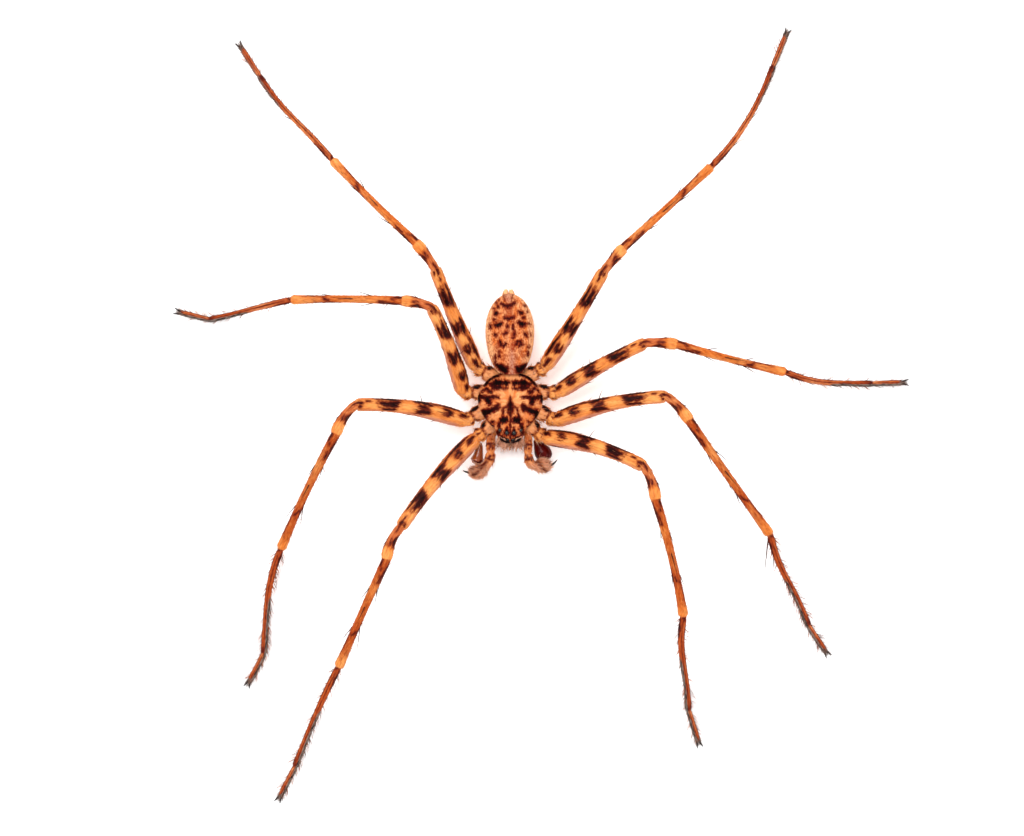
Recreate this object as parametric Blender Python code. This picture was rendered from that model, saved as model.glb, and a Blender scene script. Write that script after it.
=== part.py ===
"""Huntsman spider, a male, as a still life-size model standing on eight spread legs.

Millimetres in the tables, metres in the meshes, +Z up, head towards -Y, its left side +X.
The origin is the bottom centre of the model's box, so the feet stand on z = 0.
"""
import math

import bmesh
import bpy
from mathutils import Matrix, Vector
from mathutils.bvhtree import BVHTree

MM = 0.001
GAP = 0.3            # space kept between pieces that meet
EYE_GAP = 0.1        # space round an eye in its socket
WELDS = (0.012, 0.006, 0.002)    # points this close after a cut are made one
TOUCH = 1e-6         # metres; points this close in one tube or spike are the same point
END_ROOM = 1.2       # how far a tube runs on past a joint before its end is cut
SMOOTH_ANGLE = 40.0  # degrees between faces that still look smooth
LEG_SIDES = 8
FEMUR_SIDES = 10
LEG_FLAT = 0.82      # height of a leg's section over its width

# Carapace and the soft sides under it: y, half width, rim height, top height
CARAPACE = (
    (-4.42, 0.95, 4.30, 4.70),
    (-4.20, 1.48, 4.20, 5.15),
    (-3.60, 1.70, 4.15, 5.62),
    (-2.90, 1.92, 4.10, 5.82),
    (-2.20, 2.62, 4.08, 5.86),
    (-1.20, 3.45, 4.05, 5.86),
    (0.00, 4.05, 4.02, 5.90),
    (1.20, 4.20, 4.02, 5.78),
    (2.30, 3.82, 4.05, 5.46),
    (3.30, 3.10, 4.10, 5.02),
    (4.00, 2.25, 4.18, 4.66),
    (4.38, 1.05, 4.25, 4.36),
)
CARAPACE_DEPTH = 0.75
CARAPACE_SIDES = 24
STERNUM_HALF = (2.15, 2.65)      # half width and half length
STERNUM_Y = 0.95
STERNUM_Z = (2.2, 4.2)
STERNUM_TAPER = 0.86
STERNUM_SIDES = 20
LABIUM_SIZE = (0.95, 1.7, 1.5)
LABIUM_AT = (0.0, -2.35, 3.05)

# Eyes: across, forward of the centre, aimed from above or from in front, radius
EYES = (
    ("posterior_median", 0.46, -3.29, "above", 0.29),
    ("posterior_lateral", 1.37, -2.95, "above", 0.28),
    ("anterior_median", 0.34, 5.02, "front", 0.25),
    ("anterior_lateral", 1.02, 4.92, "front", 0.32),
)
EYE_SUNK = 0.35      # part of the radius that the centre lies under the surface
EYE_AIM_FROM = 9.0   # how far off the search for the shield's surface starts
EYE_SEGMENTS = (10, 6)

# Abdomen: an egg of two half lengths, its widest place behind the middle
ABDOMEN_Y = 9.7
ABDOMEN_FRONT = 6.1
ABDOMEN_REAR = 4.75
ABDOMEN_HALF = 3.1
ABDOMEN_Z = (1.85, 4.25, 6.35)   # belly, widest height, back
ABDOMEN_SIDES = 20
ABDOMEN_RINGS = 15
ABDOMEN_TURN = 0.7               # degrees, the tail end to the spider's right
ABDOMEN_PIVOT = (0.0, 4.0, 0.0)
ABDOMEN_LIFT = 0.9               # how far its front end rises
ABDOMEN_SHOULDER = 0.3           # sine of the angle above which the back rises less
ABDOMEN_SHOULDER_LIFT = 0.4
SPINNERETS = ((0.42, 13.75, 3.75, 1.25, 0.42), (0.40, 13.5, 3.1, 1.1, 0.36))
SPINNERET_TIP = 0.25
SPINNERET_IN = 0.8               # how far across a tip stands, as part of its root's
PEDICEL = ((0.0, 3.6, 3.3), (0.0, 6.2, 3.55), 0.42)

# Jaws: points down the middle of each, and the radius there
CHELICERA = ((0.85, -3.75, 4.75, 0.55), (0.86, -4.22, 4.1, 0.68), (0.86, -4.42, 3.0, 0.70),
             (0.84, -4.36, 2.1, 0.62), (0.80, -4.22, 1.5, 0.42))
FANG = ((1.02, -4.42, 1.75, 0.27), (0.95, -4.42, 1.12, 0.25), (0.66, -4.32, 0.84, 0.2),
        (0.30, -4.18, 0.86, 0.06))
ENDITE = ((1.2, -2.35, 2.6, 0.42), (1.1, -2.8, 2.5, 0.5), (0.88, -3.25, 2.38, 0.46),
          (0.66, -3.5, 2.25, 0.3))

# Feelers, from the mouth out: each side is bent its own way. Points and radii.
PALP_FLAT = 0.8
PALP_FEMUR = {
    "L": ((1.5, -2.8, 2.9, 0.42), (2.18, -3.5, 3.2, 0.48), (2.26, -4.6, 3.6, 0.53),
          (2.24, -5.9, 3.85, 0.5)),
    "R": ((-1.5, -2.8, 2.9, 0.42), (-2.3, -3.5, 3.2, 0.5), (-2.5, -4.6, 3.6, 0.6),
          (-2.5, -5.7, 3.85, 0.58)),
}
PALP_TIBIA = {
    "L": ((2.24, -5.9, 3.85, 0.5), (2.32, -6.6, 3.85, 0.58), (2.75, -7.3, 3.65, 0.55),
          (3.7, -7.5, 3.45, 0.82), (4.6, -7.35, 3.3, 0.92), (5.0, -7.1, 3.2, 0.5)),
    "R": ((-2.5, -5.7, 3.85, 0.58), (-2.62, -6.5, 3.85, 0.68), (-3.0, -7.35, 3.65, 0.6),
          (-3.75, -8.05, 3.45, 0.85), (-4.55, -8.2, 3.3, 0.92), (-4.95, -7.9, 3.2, 0.5)),
}
PALP_SPUR = {
    "L": ((4.7, -7.45, 3.3, 0.25), (5.4, -7.3, 3.35, 0.2), (5.98, -6.72, 3.45, 0.06)),
    "R": ((-4.6, -8.3, 3.3, 0.25), (-5.4, -8.28, 3.35, 0.2), (-6.08, -8.12, 3.45, 0.06)),
}
PALP_BULB = {
    "L": ((4.6, -6.5, 2.6, 0.6), (4.3, -6.1, 2.55, 1.02), (3.95, -5.4, 2.6, 1.02),
          (3.4, -4.7, 2.7, 0.55), (3.1, -4.3, 2.8, 0.25)),
    "R": ((-4.45, -7.2, 2.6, 0.6), (-4.3, -6.75, 2.55, 0.86), (-4.05, -5.9, 2.6, 0.6),
          (-3.95, -5.1, 2.7, 0.45), (-3.9, -4.65, 2.8, 0.25)),
}

# Legs, pair 1 at the front. The coxa runs from its root to the neck, the trochanter on to the hip
COXA_ROOT = {1: (1.5, -1.4, 3.2), 2: (1.9, 0.15, 3.2), 3: (1.9, 1.9, 3.2), 4: (1.6, 3.55, 3.25)}
COXA_NECK = {1: (3.4, -3.2, 3.4), 2: (4.94, -1.15, 3.45), 3: (4.94, 1.88, 3.45),
             4: (3.4, 4.6, 3.4)}
HIP = {1: (4.3, -3.85, 3.5), 2: (5.62, -1.8, 3.6), 3: (6.03, 1.82, 3.6), 4: (4.33, 5.0, 3.5)}
COXA_RADIUS = 1.06
COXA_ROOT_RADIUS = 0.848
NECK_RADIUS = 0.88
TROCHANTER_RADIUS = 0.98
COXA_FLAT = 0.88
COXA_FULL = (0.5, 0.88)          # from root to neck, where the coxa has its full radius
TROCHANTER_FULL = 0.45           # from neck to hip, where the trochanter has its own
# Lengths of femur, patella, tibia, metatarsus and tarsus with its claws
LENGTHS = {
    1: (15.2, 4.5, 15.8, 14.2, 4.5),
    2: (15.1, 4.5, 18.1, 13.7, 4.3),
    3: (13.2, 4.0, 14.8, 11.8, 4.1),
    4: (14.9, 4.1, 15.6, 15.6, 4.6),
}
# Way each segment points in plan, in degrees from +X, and the height of its far joint
POSE = {
    "L1": ((-16.3, -71.2, -76.2, -85.8, -72.7), (11.2, 12.0, 8.0, 1.0)),
    "L2": ((12.4, -47.9, -54.3, -66.3, -56.3), (7.55, 9.15, 5.8, 1.1)),
    "L3": ((29.5, -2.7, -14.0, -7.2, 1.9), (6.75, 7.2, 3.75, 0.95)),
    "L4": ((58.4, 50.2, 42.8, 58.4, 67.3), (7.25, 5.95, 3.45, 1.0)),
    "R1": ((-130.1, -113.8, -114.2, -113.7, -117.0), (6.2, 6.65, 2.55, 0.78)),
    "R2": ((171.6, -123.9, -116.4, -99.4, -117.9), (8.95, 9.5, 2.0, 0.75)),
    "R3": ((110.1, 167.2, 179.1, -167.3, 165.9), (10.15, 8.9, 4.95, 0.72)),
    "R4": ((112.6, 126.7, 135.1, 130.7, 123.0), (9.7, 10.05, 5.95, 0.72)),
}
# How far the middle of each segment bows to its right, seen from above
BOW = {
    "L1": (-0.71, -0.27, -0.30, 0.35), "L2": (-0.63, -0.21, 0.06, 0.20),
    "L3": (-0.30, -0.12, 0.15, 0.62), "L4": (0.12, -0.01, 0.06, 0.85),
    "R1": (0.45, 0.38, 0.04, 0.22), "R2": (0.67, 0.36, 0.23, 0.64),
    "R3": (0.36, 0.18, 0.17, 0.00), "R4": (-0.11, 0.09, -0.16, -0.27),
}
# How far the metatarsus also sways, right in its near half and left in its far half
SWAY = {"L1": 0.19, "L2": 0.19, "L3": 0.11, "L4": 0.03, "R1": 0.01, "R2": 0.11, "R3": 0.05,
        "R4": 0.15}
# Half width along each segment: part of its length, millimetres
FEMUR_WIDTH = ((0.0, 0.98), (0.06, 1.06), (0.16, 1.12), (0.28, 1.12), (0.42, 1.0), (0.6, 0.88),
               (0.8, 0.82), (0.93, 0.84), (1.0, 0.72))
PATELLA_WIDTH = ((0.0, 0.6), (0.2, 0.58), (0.5, 0.66), (0.8, 0.75), (1.0, 0.62))
TIBIA_WIDTH = ((0.0, 0.6), (0.2, 0.56), (0.45, 0.5), (0.75, 0.51), (0.93, 0.6), (1.0, 0.5))
METATARSUS_WIDTH = ((0.0, 0.44), (0.15, 0.46), (0.45, 0.4), (0.75, 0.38), (0.95, 0.43),
                    (1.0, 0.38))
TARSUS_WIDTH = ((0.0, 0.36), (0.4, 0.36), (0.75, 0.38), (1.0, 0.34))
TOE_HEIGHT = 0.24                # middle of the tarsus at its end, which rests on the floor
CLAW = (0.75, 0.25, 16.0)        # length, radius with its tuft, and spread in degrees
CLAW_REACH = 0.6                 # how far the claws take the foot past the tarsus
CLAW_ROOT = (0.25, 0.14, 0.02)   # root's place: back from the toe, aside, and up
CLAW_TIP = 0.07
CLAW_SIDES = 6

# Spines: part of the segment's length, degrees round from the top (the right side is +90)
FEMUR_SPINES = ((0.22, 8), (0.46, -6), (0.72, 5), (0.32, 72), (0.55, 78), (0.76, 70),
                (0.28, -74), (0.5, -70), (0.74, -78))
PATELLA_SPINES = ((0.5, 80), (0.55, -80))
TIBIA_SPINES = ((0.26, 75), (0.62, 80), (0.24, -78), (0.6, -75), (0.42, 4),
                (0.14, 150), (0.17, -148), (0.44, 152), (0.47, -150), (0.74, 148))
METATARSUS_SPINES = ((0.2, 75), (0.46, 80), (0.22, -78), (0.5, -76), (0.1, 150), (0.13, -148),
                     (0.34, 150))
SPINE_RADIUS = 0.25
SPINE_SINK = 0.3
FEMUR_SPINE = (1.35, 52.0)       # length, and degrees that it leans towards the foot
PATELLA_SPINE = (1.2, 60.0)
SHANK_SPINE = (2.5, 68.0)
FLOOR_CLEAR = 0.3

COLOURS = {
    "carapace": ((0.60, 0.24, 0.07), 0.5),
    "abdomen": ((0.52, 0.25, 0.11), 0.7),
    "leg": ((0.62, 0.24, 0.05), 0.45),
    "foot": ((0.33, 0.10, 0.04), 0.5),
    "jaw": ((0.24, 0.07, 0.03), 0.35),
    "claw": ((0.02, 0.012, 0.01), 0.3),
    "palp_bulb": ((0.13, 0.02, 0.012), 0.3),
    "eye": ((0.008, 0.006, 0.006), 0.08),
}


TUBES = {}           # what each tube of the model was drawn from


def start():
    for obj in list(bpy.data.objects):
        bpy.data.objects.remove(obj, do_unlink=True)
    for name in ("huntsman_spider", "cutters"):
        bpy.context.scene.collection.children.link(bpy.data.collections.new(name))


def material(name):
    if name in bpy.data.materials:
        return bpy.data.materials[name]
    colour, roughness = COLOURS[name]
    mat = bpy.data.materials.new(name)
    mat.use_nodes = True
    shader = mat.node_tree.nodes["Principled BSDF"]
    shader.inputs["Base Color"].default_value = (*colour, 1.0)
    shader.inputs["Roughness"].default_value = roughness
    shader.inputs["Metallic"].default_value = 0.0
    return mat


def add(name, mesh, mat=None, at=(0.0, 0.0, 0.0)):
    """A new object of the model, or a loose piece of one where it has no material."""
    obj = bpy.data.objects.new(name, mesh)
    obj.location = Vector(at) * MM
    collection = bpy.data.collections["huntsman_spider" if mat else "cutters"]
    collection.objects.link(obj)
    if mat:
        mesh.materials.clear()
        mesh.materials.append(material(mat))
    else:
        obj.hide_render = True
        obj.display_type = "WIRE"
    return obj


def bake(obj):
    """Applies the modifiers."""
    bpy.context.view_layer.update()
    depsgraph = bpy.context.evaluated_depsgraph_get()
    mesh = bpy.data.meshes.new_from_object(obj.evaluated_get(depsgraph))
    old = obj.data
    obj.modifiers.clear()
    obj.data = mesh
    bpy.data.meshes.remove(old)


def weld(bm):
    """Merges the slivers of a cut, as coarsely as leaves the body closed."""
    for reach in WELDS:
        trial = bm.copy()
        bmesh.ops.remove_doubles(trial, verts=trial.verts, dist=reach * MM)
        bmesh.ops.dissolve_degenerate(trial, edges=trial.edges, dist=reach * MM / 4.0)
        if all(len(edge.link_faces) == 2 for edge in trial.edges):
            return trial
        trial.free()
    return bm.copy()


def keep_largest(obj):
    """Leaves a node as one closed body, without scraps or sealed hollows."""
    raw = bmesh.new()
    raw.from_mesh(obj.data)
    bm = weld(raw)
    raw.free()
    loose = set(bm.faces)
    islands = []
    while loose:
        found = {loose.pop()}
        queue = list(found)
        while queue:
            for edge in queue.pop().edges:
                for other in edge.link_faces:
                    if other in loose:
                        loose.discard(other)
                        found.add(other)
                        queue.append(other)
        islands.append(found)
    islands.sort(key=lambda faces: sum(face.calc_area() for face in faces))
    spare = [face for faces in islands[:-1] for face in faces]
    if spare:
        bmesh.ops.delete(bm, geom=spare, context="FACES")
    bm.to_mesh(obj.data)
    bm.free()


def boolean(obj, pieces, operation, solver="EXACT"):
    """One Boolean on a collection of closed meshes, which are then removed."""
    group = bpy.data.collections.new("pieces")
    bpy.context.scene.collection.children.link(group)
    for piece in pieces:
        group.objects.link(piece)
    modifier = obj.modifiers.new(operation.lower(), "BOOLEAN")
    modifier.operation = operation
    modifier.operand_type = "COLLECTION"
    modifier.collection = group
    modifier.solver = solver
    bake(obj)
    for piece in pieces:
        mesh = piece.data
        bpy.data.objects.remove(piece, do_unlink=True)
        bpy.data.meshes.remove(mesh)
    bpy.data.collections.remove(group)
    keep_largest(obj)


def grown(obj, gap):
    """The forms that a piece is made of, fatter all round by the gap."""
    if obj.name == "cephalothorax":
        return [carapace(gap), sternum(gap), labium(gap)]
    if obj.name == "abdomen":
        return [abdomen_egg(gap)]
    points, flat, sides = TUBES[obj.name]
    fatter = [(*point[:3], point[3] + gap) for point in points]
    return [tube(obj.name + "_room", lengthen(fatter, gap), None, obj.location / MM, flat, sides)]


def clear_of(obj, others, gap=GAP, solver="EXACT"):
    """Cuts a piece back to the gap from what it meets."""
    room = [form for other in others for form in grown(other, gap)]
    boolean(obj, room, "DIFFERENCE", solver)


def trim(obj, point, normal):
    """Takes off what lies past a plane, and closes the cut."""
    bm = bmesh.new()
    bm.from_mesh(obj.data)
    place = Vector(point) * MM - obj.location
    cut = bmesh.ops.bisect_plane(bm, geom=bm.verts[:] + bm.edges[:] + bm.faces[:],
                                 dist=1e-7, plane_co=place, plane_no=normal, clear_outer=True)
    edges = [item for item in cut["geom_cut"] if isinstance(item, bmesh.types.BMEdge)]
    if edges:
        bmesh.ops.holes_fill(bm, edges=edges)
    bmesh.ops.recalc_face_normals(bm, faces=bm.faces)
    bm.to_mesh(obj.data)
    bm.free()


def tube(name, points, mat=None, at=(0.0, 0.0, 0.0), flat=1.0, sides=LEG_SIDES):
    """A tapering tube through points (x, y, z, radius), with an elliptical section."""
    if mat:
        TUBES[name] = (points, flat, sides)
    section = bpy.data.curves.new("section", "CURVE")
    ring = section.splines.new("POLY")
    ring.points.add(sides - 1)
    for number, point in enumerate(ring.points):
        angle = 2.0 * math.pi * number / sides
        point.co = (math.cos(angle), flat * math.sin(angle), 0.0, 1.0)
    ring.use_cyclic_u = True
    guide = add("section", section)

    path = bpy.data.curves.new(name, "CURVE")
    path.dimensions = "3D"
    path.twist_mode = "Z_UP" if flat < 1.0 else "MINIMUM"
    path.bevel_mode = "OBJECT"
    path.bevel_object = guide
    path.use_fill_caps = True
    line = path.splines.new("POLY")
    line.points.add(len(points) - 1)
    for point, (x, y, z, radius) in zip(line.points, points):
        point.co = (*((Vector((x, y, z)) - Vector(at)) * MM), 1.0)
        point.radius = radius * MM
    curve = add(name + "_path", path)
    bpy.context.view_layer.update()
    depsgraph = bpy.context.evaluated_depsgraph_get()
    mesh = bpy.data.meshes.new_from_object(curve.evaluated_get(depsgraph))
    for obj, data in ((curve, path), (guide, section)):
        bpy.data.objects.remove(obj, do_unlink=True)
        bpy.data.curves.remove(data)
    bm = bmesh.new()
    bm.from_mesh(mesh)
    bmesh.ops.remove_doubles(bm, verts=bm.verts, dist=TOUCH)
    bmesh.ops.recalc_face_normals(bm, faces=bm.faces)
    bm.to_mesh(mesh)
    bm.free()
    mesh.name = name
    return add(name, mesh, mat, at)


def loft(name, rings, mat=None):
    """A closed skin over rings of points, all with the same number of points."""
    mesh = bpy.data.meshes.new(name)
    bm = bmesh.new()
    loops = [[bm.verts.new(Vector(point) * MM) for point in ring] for ring in rings]
    count = len(rings[0])
    for near, far in zip(loops, loops[1:]):
        for i in range(count):
            j = (i + 1) % count
            bm.faces.new((near[i], near[j], far[j], far[i]))
    bm.faces.new(loops[0])
    bm.faces.new(loops[-1])
    bmesh.ops.recalc_face_normals(bm, faces=bm.faces)
    bm.to_mesh(mesh)
    bm.free()
    return add(name, mesh, mat)


def ball(name, centre, radius, mat=None):
    mesh = bpy.data.meshes.new(name)
    bm = bmesh.new()
    round_it, up_it = EYE_SEGMENTS
    bmesh.ops.create_uvsphere(bm, u_segments=round_it, v_segments=up_it, radius=radius * MM)
    bm.to_mesh(mesh)
    bm.free()
    return add(name, mesh, mat, centre)


def cone(name, root, tip, radius, tip_radius=0.0, sides=4):
    """A spike from its sunk root to its tip."""
    mesh = bpy.data.meshes.new(name)
    line = Vector(tip) - Vector(root)
    bm = bmesh.new()
    bmesh.ops.create_cone(bm, cap_ends=True, segments=sides, radius1=radius * MM,
                          radius2=tip_radius * MM, depth=line.length * MM)
    middle = (Vector(root) + line / 2.0) * MM
    turn = line.to_track_quat("Z", "Y").to_matrix().to_4x4()
    bmesh.ops.transform(bm, matrix=Matrix.Translation(middle) @ turn, verts=bm.verts)
    bmesh.ops.remove_doubles(bm, verts=bm.verts, dist=TOUCH)
    bm.to_mesh(mesh)
    bm.free()
    return add(name, mesh)


def mirrored(points):
    return tuple((-point[0], *point[1:]) for point in points)


def carapace(grow=0.0):
    """The shield with the soft sides under it."""
    widest = max(half for _, half, _, _ in CARAPACE)
    stretch = 1.0 + grow / CARAPACE[-1][0]
    rings = []
    for y, half, rim, top in CARAPACE:
        ring = []
        for number in range(CARAPACE_SIDES):
            angle = 2.0 * math.pi * number / CARAPACE_SIDES
            rise = math.sin(angle)
            tall = (top - rim) if rise > 0.0 else CARAPACE_DEPTH * half / widest
            ring.append(((half + grow) * math.cos(angle), y * stretch, rim + (tall + grow) * rise))
        rings.append(ring)
    return loft("carapace", rings)


def sternum(grow=0.0):
    """The plate between the hips, a little narrower below."""
    mesh = bpy.data.meshes.new("sternum")
    bm = bmesh.new()
    low, high = STERNUM_Z
    wide, long = STERNUM_HALF
    bmesh.ops.create_cone(bm, cap_ends=True, segments=STERNUM_SIDES, radius1=STERNUM_TAPER,
                          radius2=1.0, depth=1.0)
    size = (wide + grow, long + grow, high - low + 2.0 * grow)
    bmesh.ops.scale(bm, vec=Vector(size) * MM, verts=bm.verts)
    bm.to_mesh(mesh)
    bm.free()
    return add("sternum", mesh, None, (0.0, STERNUM_Y, (low + high) / 2.0))


def labium(grow=0.0):
    """The lip in front of the sternum."""
    mesh = bpy.data.meshes.new("labium")
    bm = bmesh.new()
    bmesh.ops.create_cube(bm, size=MM)
    bmesh.ops.scale(bm, vec=[side + 2.0 * grow for side in LABIUM_SIZE], verts=bm.verts)
    bm.to_mesh(mesh)
    bm.free()
    return add("labium", mesh, None, LABIUM_AT)


def cephalothorax():
    shield = carapace()
    body = add("cephalothorax", shield.data, "carapace")
    bpy.data.objects.remove(shield, do_unlink=True)
    boolean(body, [sternum(), labium()], "UNION")
    return body


def eyes(body):
    """Eight small globes, each half sunk in a socket of its own."""
    bm = bmesh.new()
    bm.from_mesh(body.data)
    surface = BVHTree.FromBMesh(bm)
    bm.free()
    sockets = []
    for name, across, other, aim, radius in EYES:
        for side, sign in (("L", 1.0), ("R", -1.0)):
            if aim == "above":
                start_at = Vector((sign * across, other, EYE_AIM_FROM))
                way = Vector((0.0, 0.0, -1.0))
            else:
                start_at = Vector((sign * across, -EYE_AIM_FROM, other))
                way = Vector((0.0, 1.0, 0.0))
            hit, normal, _, _ = surface.ray_cast(start_at * MM, way)
            centre = hit / MM - normal * radius * EYE_SUNK
            ball(f"eye_{side}_{name}", centre, radius, "eye")
            sockets.append(ball("socket", centre, radius + EYE_GAP))
    boolean(body, sockets, "DIFFERENCE")


def abdomen_egg(grow=0.0):
    rings = []
    belly, middle, back = ABDOMEN_Z
    for step in range(1, ABDOMEN_RINGS):
        along = -math.cos(math.pi * step / ABDOMEN_RINGS)
        reach = (ABDOMEN_REAR if along > 0.0 else ABDOMEN_FRONT) + grow
        size = math.sqrt(1.0 - along * along)
        lift = ABDOMEN_LIFT * max(0.0, -along) ** 2
        ring = []
        for number in range(ABDOMEN_SIDES):
            angle = 2.0 * math.pi * number / ABDOMEN_SIDES
            rise = math.sin(angle)
            tall = (back - middle) if rise > 0.0 else (middle - belly)
            raised = lift if rise < ABDOMEN_SHOULDER else lift * ABDOMEN_SHOULDER_LIFT
            ring.append(((ABDOMEN_HALF + grow) * size * math.cos(angle),
                         ABDOMEN_Y + reach * along,
                         middle + raised + (tall + grow) * size * rise))
        rings.append(ring)
    egg = loft("egg", rings)
    pivot = Matrix.Translation(Vector(ABDOMEN_PIVOT) * MM)
    turn = pivot @ Matrix.Rotation(math.radians(ABDOMEN_TURN), 4, "Z") @ pivot.inverted()
    egg.data.transform(turn)
    return egg


def abdomen(neighbours):
    egg = abdomen_egg()
    body = add("abdomen", egg.data, "abdomen")
    bpy.data.objects.remove(egg, do_unlink=True)
    pieces = []
    for across, y, z, length, radius in SPINNERETS:
        for sign in (1.0, -1.0):
            pieces.append(cone("spinneret", (sign * across, y, z),
                               (sign * across * SPINNERET_IN, y + length, z), radius,
                               SPINNERET_TIP, LEG_SIDES))
    boolean(body, pieces, "UNION", "MANIFOLD")
    clear_of(body, neighbours, solver="MANIFOLD")
    return body


def jaws(body, hips):
    """Chelicerae, fangs and the lobes beside the mouth; returns the pieces by side."""
    made = {}
    for side in ("L", "R"):
        flip = (lambda points: points) if side == "L" else mirrored
        chelicera = tube(f"chelicera_{side}", flip(CHELICERA), "jaw")
        clear_of(chelicera, [body], solver="MANIFOLD")
        fang = tube(f"fang_{side}", flip(FANG), "claw")
        clear_of(fang, [chelicera])
        endite = tube(f"endite_{side}", flip(ENDITE), "jaw")
        clear_of(endite, [body, chelicera, hips[side + "1"]])
        made[side] = (chelicera, endite)
    return made


def palp(side, body, hip, jaw):
    femur = tube(f"palp_{side}_femur", PALP_FEMUR[side], "leg")
    clear_of(femur, [body, hip, *jaw])
    tibia = tube(f"palp_{side}_tibia", PALP_TIBIA[side], "leg", flat=PALP_FLAT)
    boolean(tibia, [tube("spur", PALP_SPUR[side], sides=CLAW_SIDES)], "UNION")
    clear_of(tibia, [femur])
    bulb = tube(f"palp_{side}_bulb", PALP_BULB[side], "palp_bulb")
    clear_of(bulb, [tibia, femur])


def lengthwise(start_at, stop_at, bow, widths, sway=0.0, sag=False):
    """Points with radii from one joint to the next, bowed to the right in plan."""
    run = stop_at - start_at
    right = Vector((run.y, -run.x, 0.0)).normalized()
    points = []
    for part, half in widths:
        aside = bow * 4.0 * part * (1.0 - part) + sway * math.sin(2.0 * math.pi * part)
        place = start_at + run * part + right * aside
        if sag:
            place.z = stop_at.z + (start_at.z - stop_at.z) * (1.0 - part) ** 2
        points.append((*place, half))
    return points


def lengthen(points, reach=END_ROOM):
    """Carries both ends straight on, so that a slanting cut finds material."""
    first, second = Vector(points[0][:3]), Vector(points[1][:3])
    last, before = Vector(points[-1][:3]), Vector(points[-2][:3])
    ahead = first + (first - second).normalized() * reach
    behind = last + (last - before).normalized() * reach
    return [(*ahead, points[0][3]), *points, (*behind, points[-1][3])]


def spines(points, places, size):
    """Spikes on a tube, leaning towards the foot; points are those of the tube."""
    length, lean = size
    lean = math.radians(lean)
    first, last = Vector(points[0][:3]), Vector(points[-1][:3])
    total = (last - first).length
    pieces = []
    for part, turn in places:
        for near, far in zip(points, points[1:]):
            a, b = Vector(near[:3]), Vector(far[:3])
            start_part = (a - first).length / total
            stop_part = (b - first).length / total
            if start_part <= part <= stop_part:
                mix = (part - start_part) / (stop_part - start_part)
                centre = a.lerp(b, mix)
                half = near[3] + (far[3] - near[3]) * mix
                along = (b - a).normalized()
        right = Vector((along.y, -along.x, 0.0)).normalized()
        up = right.cross(along)
        angle = math.radians(turn)
        out = up * math.cos(angle) * LEG_FLAT + right * math.sin(angle)
        root = centre + out * (half - SPINE_SINK)
        way = out.normalized() * math.cos(lean) + along * math.sin(lean)
        tip = root + way * length
        tip.z = max(tip.z, FLOOR_CLEAR)
        pieces.append(cone("spine", root, tip, SPINE_RADIUS))
    return pieces


def claws(toe, along):
    """The two claws with their tufts, at the end of the foot."""
    length, radius, spread = CLAW
    back, aside, up = CLAW_ROOT
    pieces = []
    for sign in (1.0, -1.0):
        way = Matrix.Rotation(math.radians(sign * spread), 3, "Z") @ along
        side = Vector((along.y, -along.x, 0.0)).normalized() * -sign * aside
        root = toe - along * back + side
        tip = toe + way * length + side
        root.z = TOE_HEIGHT + up
        tip.z = TOE_HEIGHT
        pieces.append(cone("claw", root, tip, radius, CLAW_TIP, CLAW_SIDES))
    return pieces


def joints(leg):
    """The joint positions of a leg, from the hip to the end of the claws."""
    side, pair = leg[0], int(leg[1])
    x, y, z = HIP[pair]
    places = [Vector((x if side == "L" else -x, y, z))]
    headings, heights = POSE[leg]
    for length, heading, height in zip(LENGTHS[pair], headings, (*heights, TOE_HEIGHT)):
        rise = height - places[-1].z
        run = math.sqrt(length * length - rise * rise)
        angle = math.radians(heading)
        places.append(places[-1] + Vector((run * math.cos(angle), run * math.sin(angle), rise)))
    return places


def coxa(leg, body, before):
    """Hip joint piece: the coxa under the carapace and the short trochanter."""
    side, pair = leg[0], int(leg[1])
    sign = 1.0 if side == "L" else -1.0
    root, neck = (Vector((sign * x, y, z)) for x, y, z in (COXA_ROOT[pair], COXA_NECK[pair]))
    hip, knee = joints(leg)[:2]
    thigh = (knee - hip).normalized()
    ring = (hip - neck).normalized()
    full_from, full_to = (root.lerp(neck, part) for part in COXA_FULL)
    points = [(*root, COXA_ROOT_RADIUS), (*full_from, COXA_RADIUS), (*full_to, COXA_RADIUS),
              (*neck, NECK_RADIUS), (*neck.lerp(hip, TROCHANTER_FULL), TROCHANTER_RADIUS),
              (*hip, TROCHANTER_RADIUS)]
    piece = tube(f"leg_{leg}_coxa", lengthen(points), "leg", hip, flat=COXA_FLAT)
    normal = (ring + thigh).normalized()
    trim(piece, hip - normal * GAP / 2.0, normal)
    clear_of(piece, [body, *before])
    return piece, normal


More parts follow.
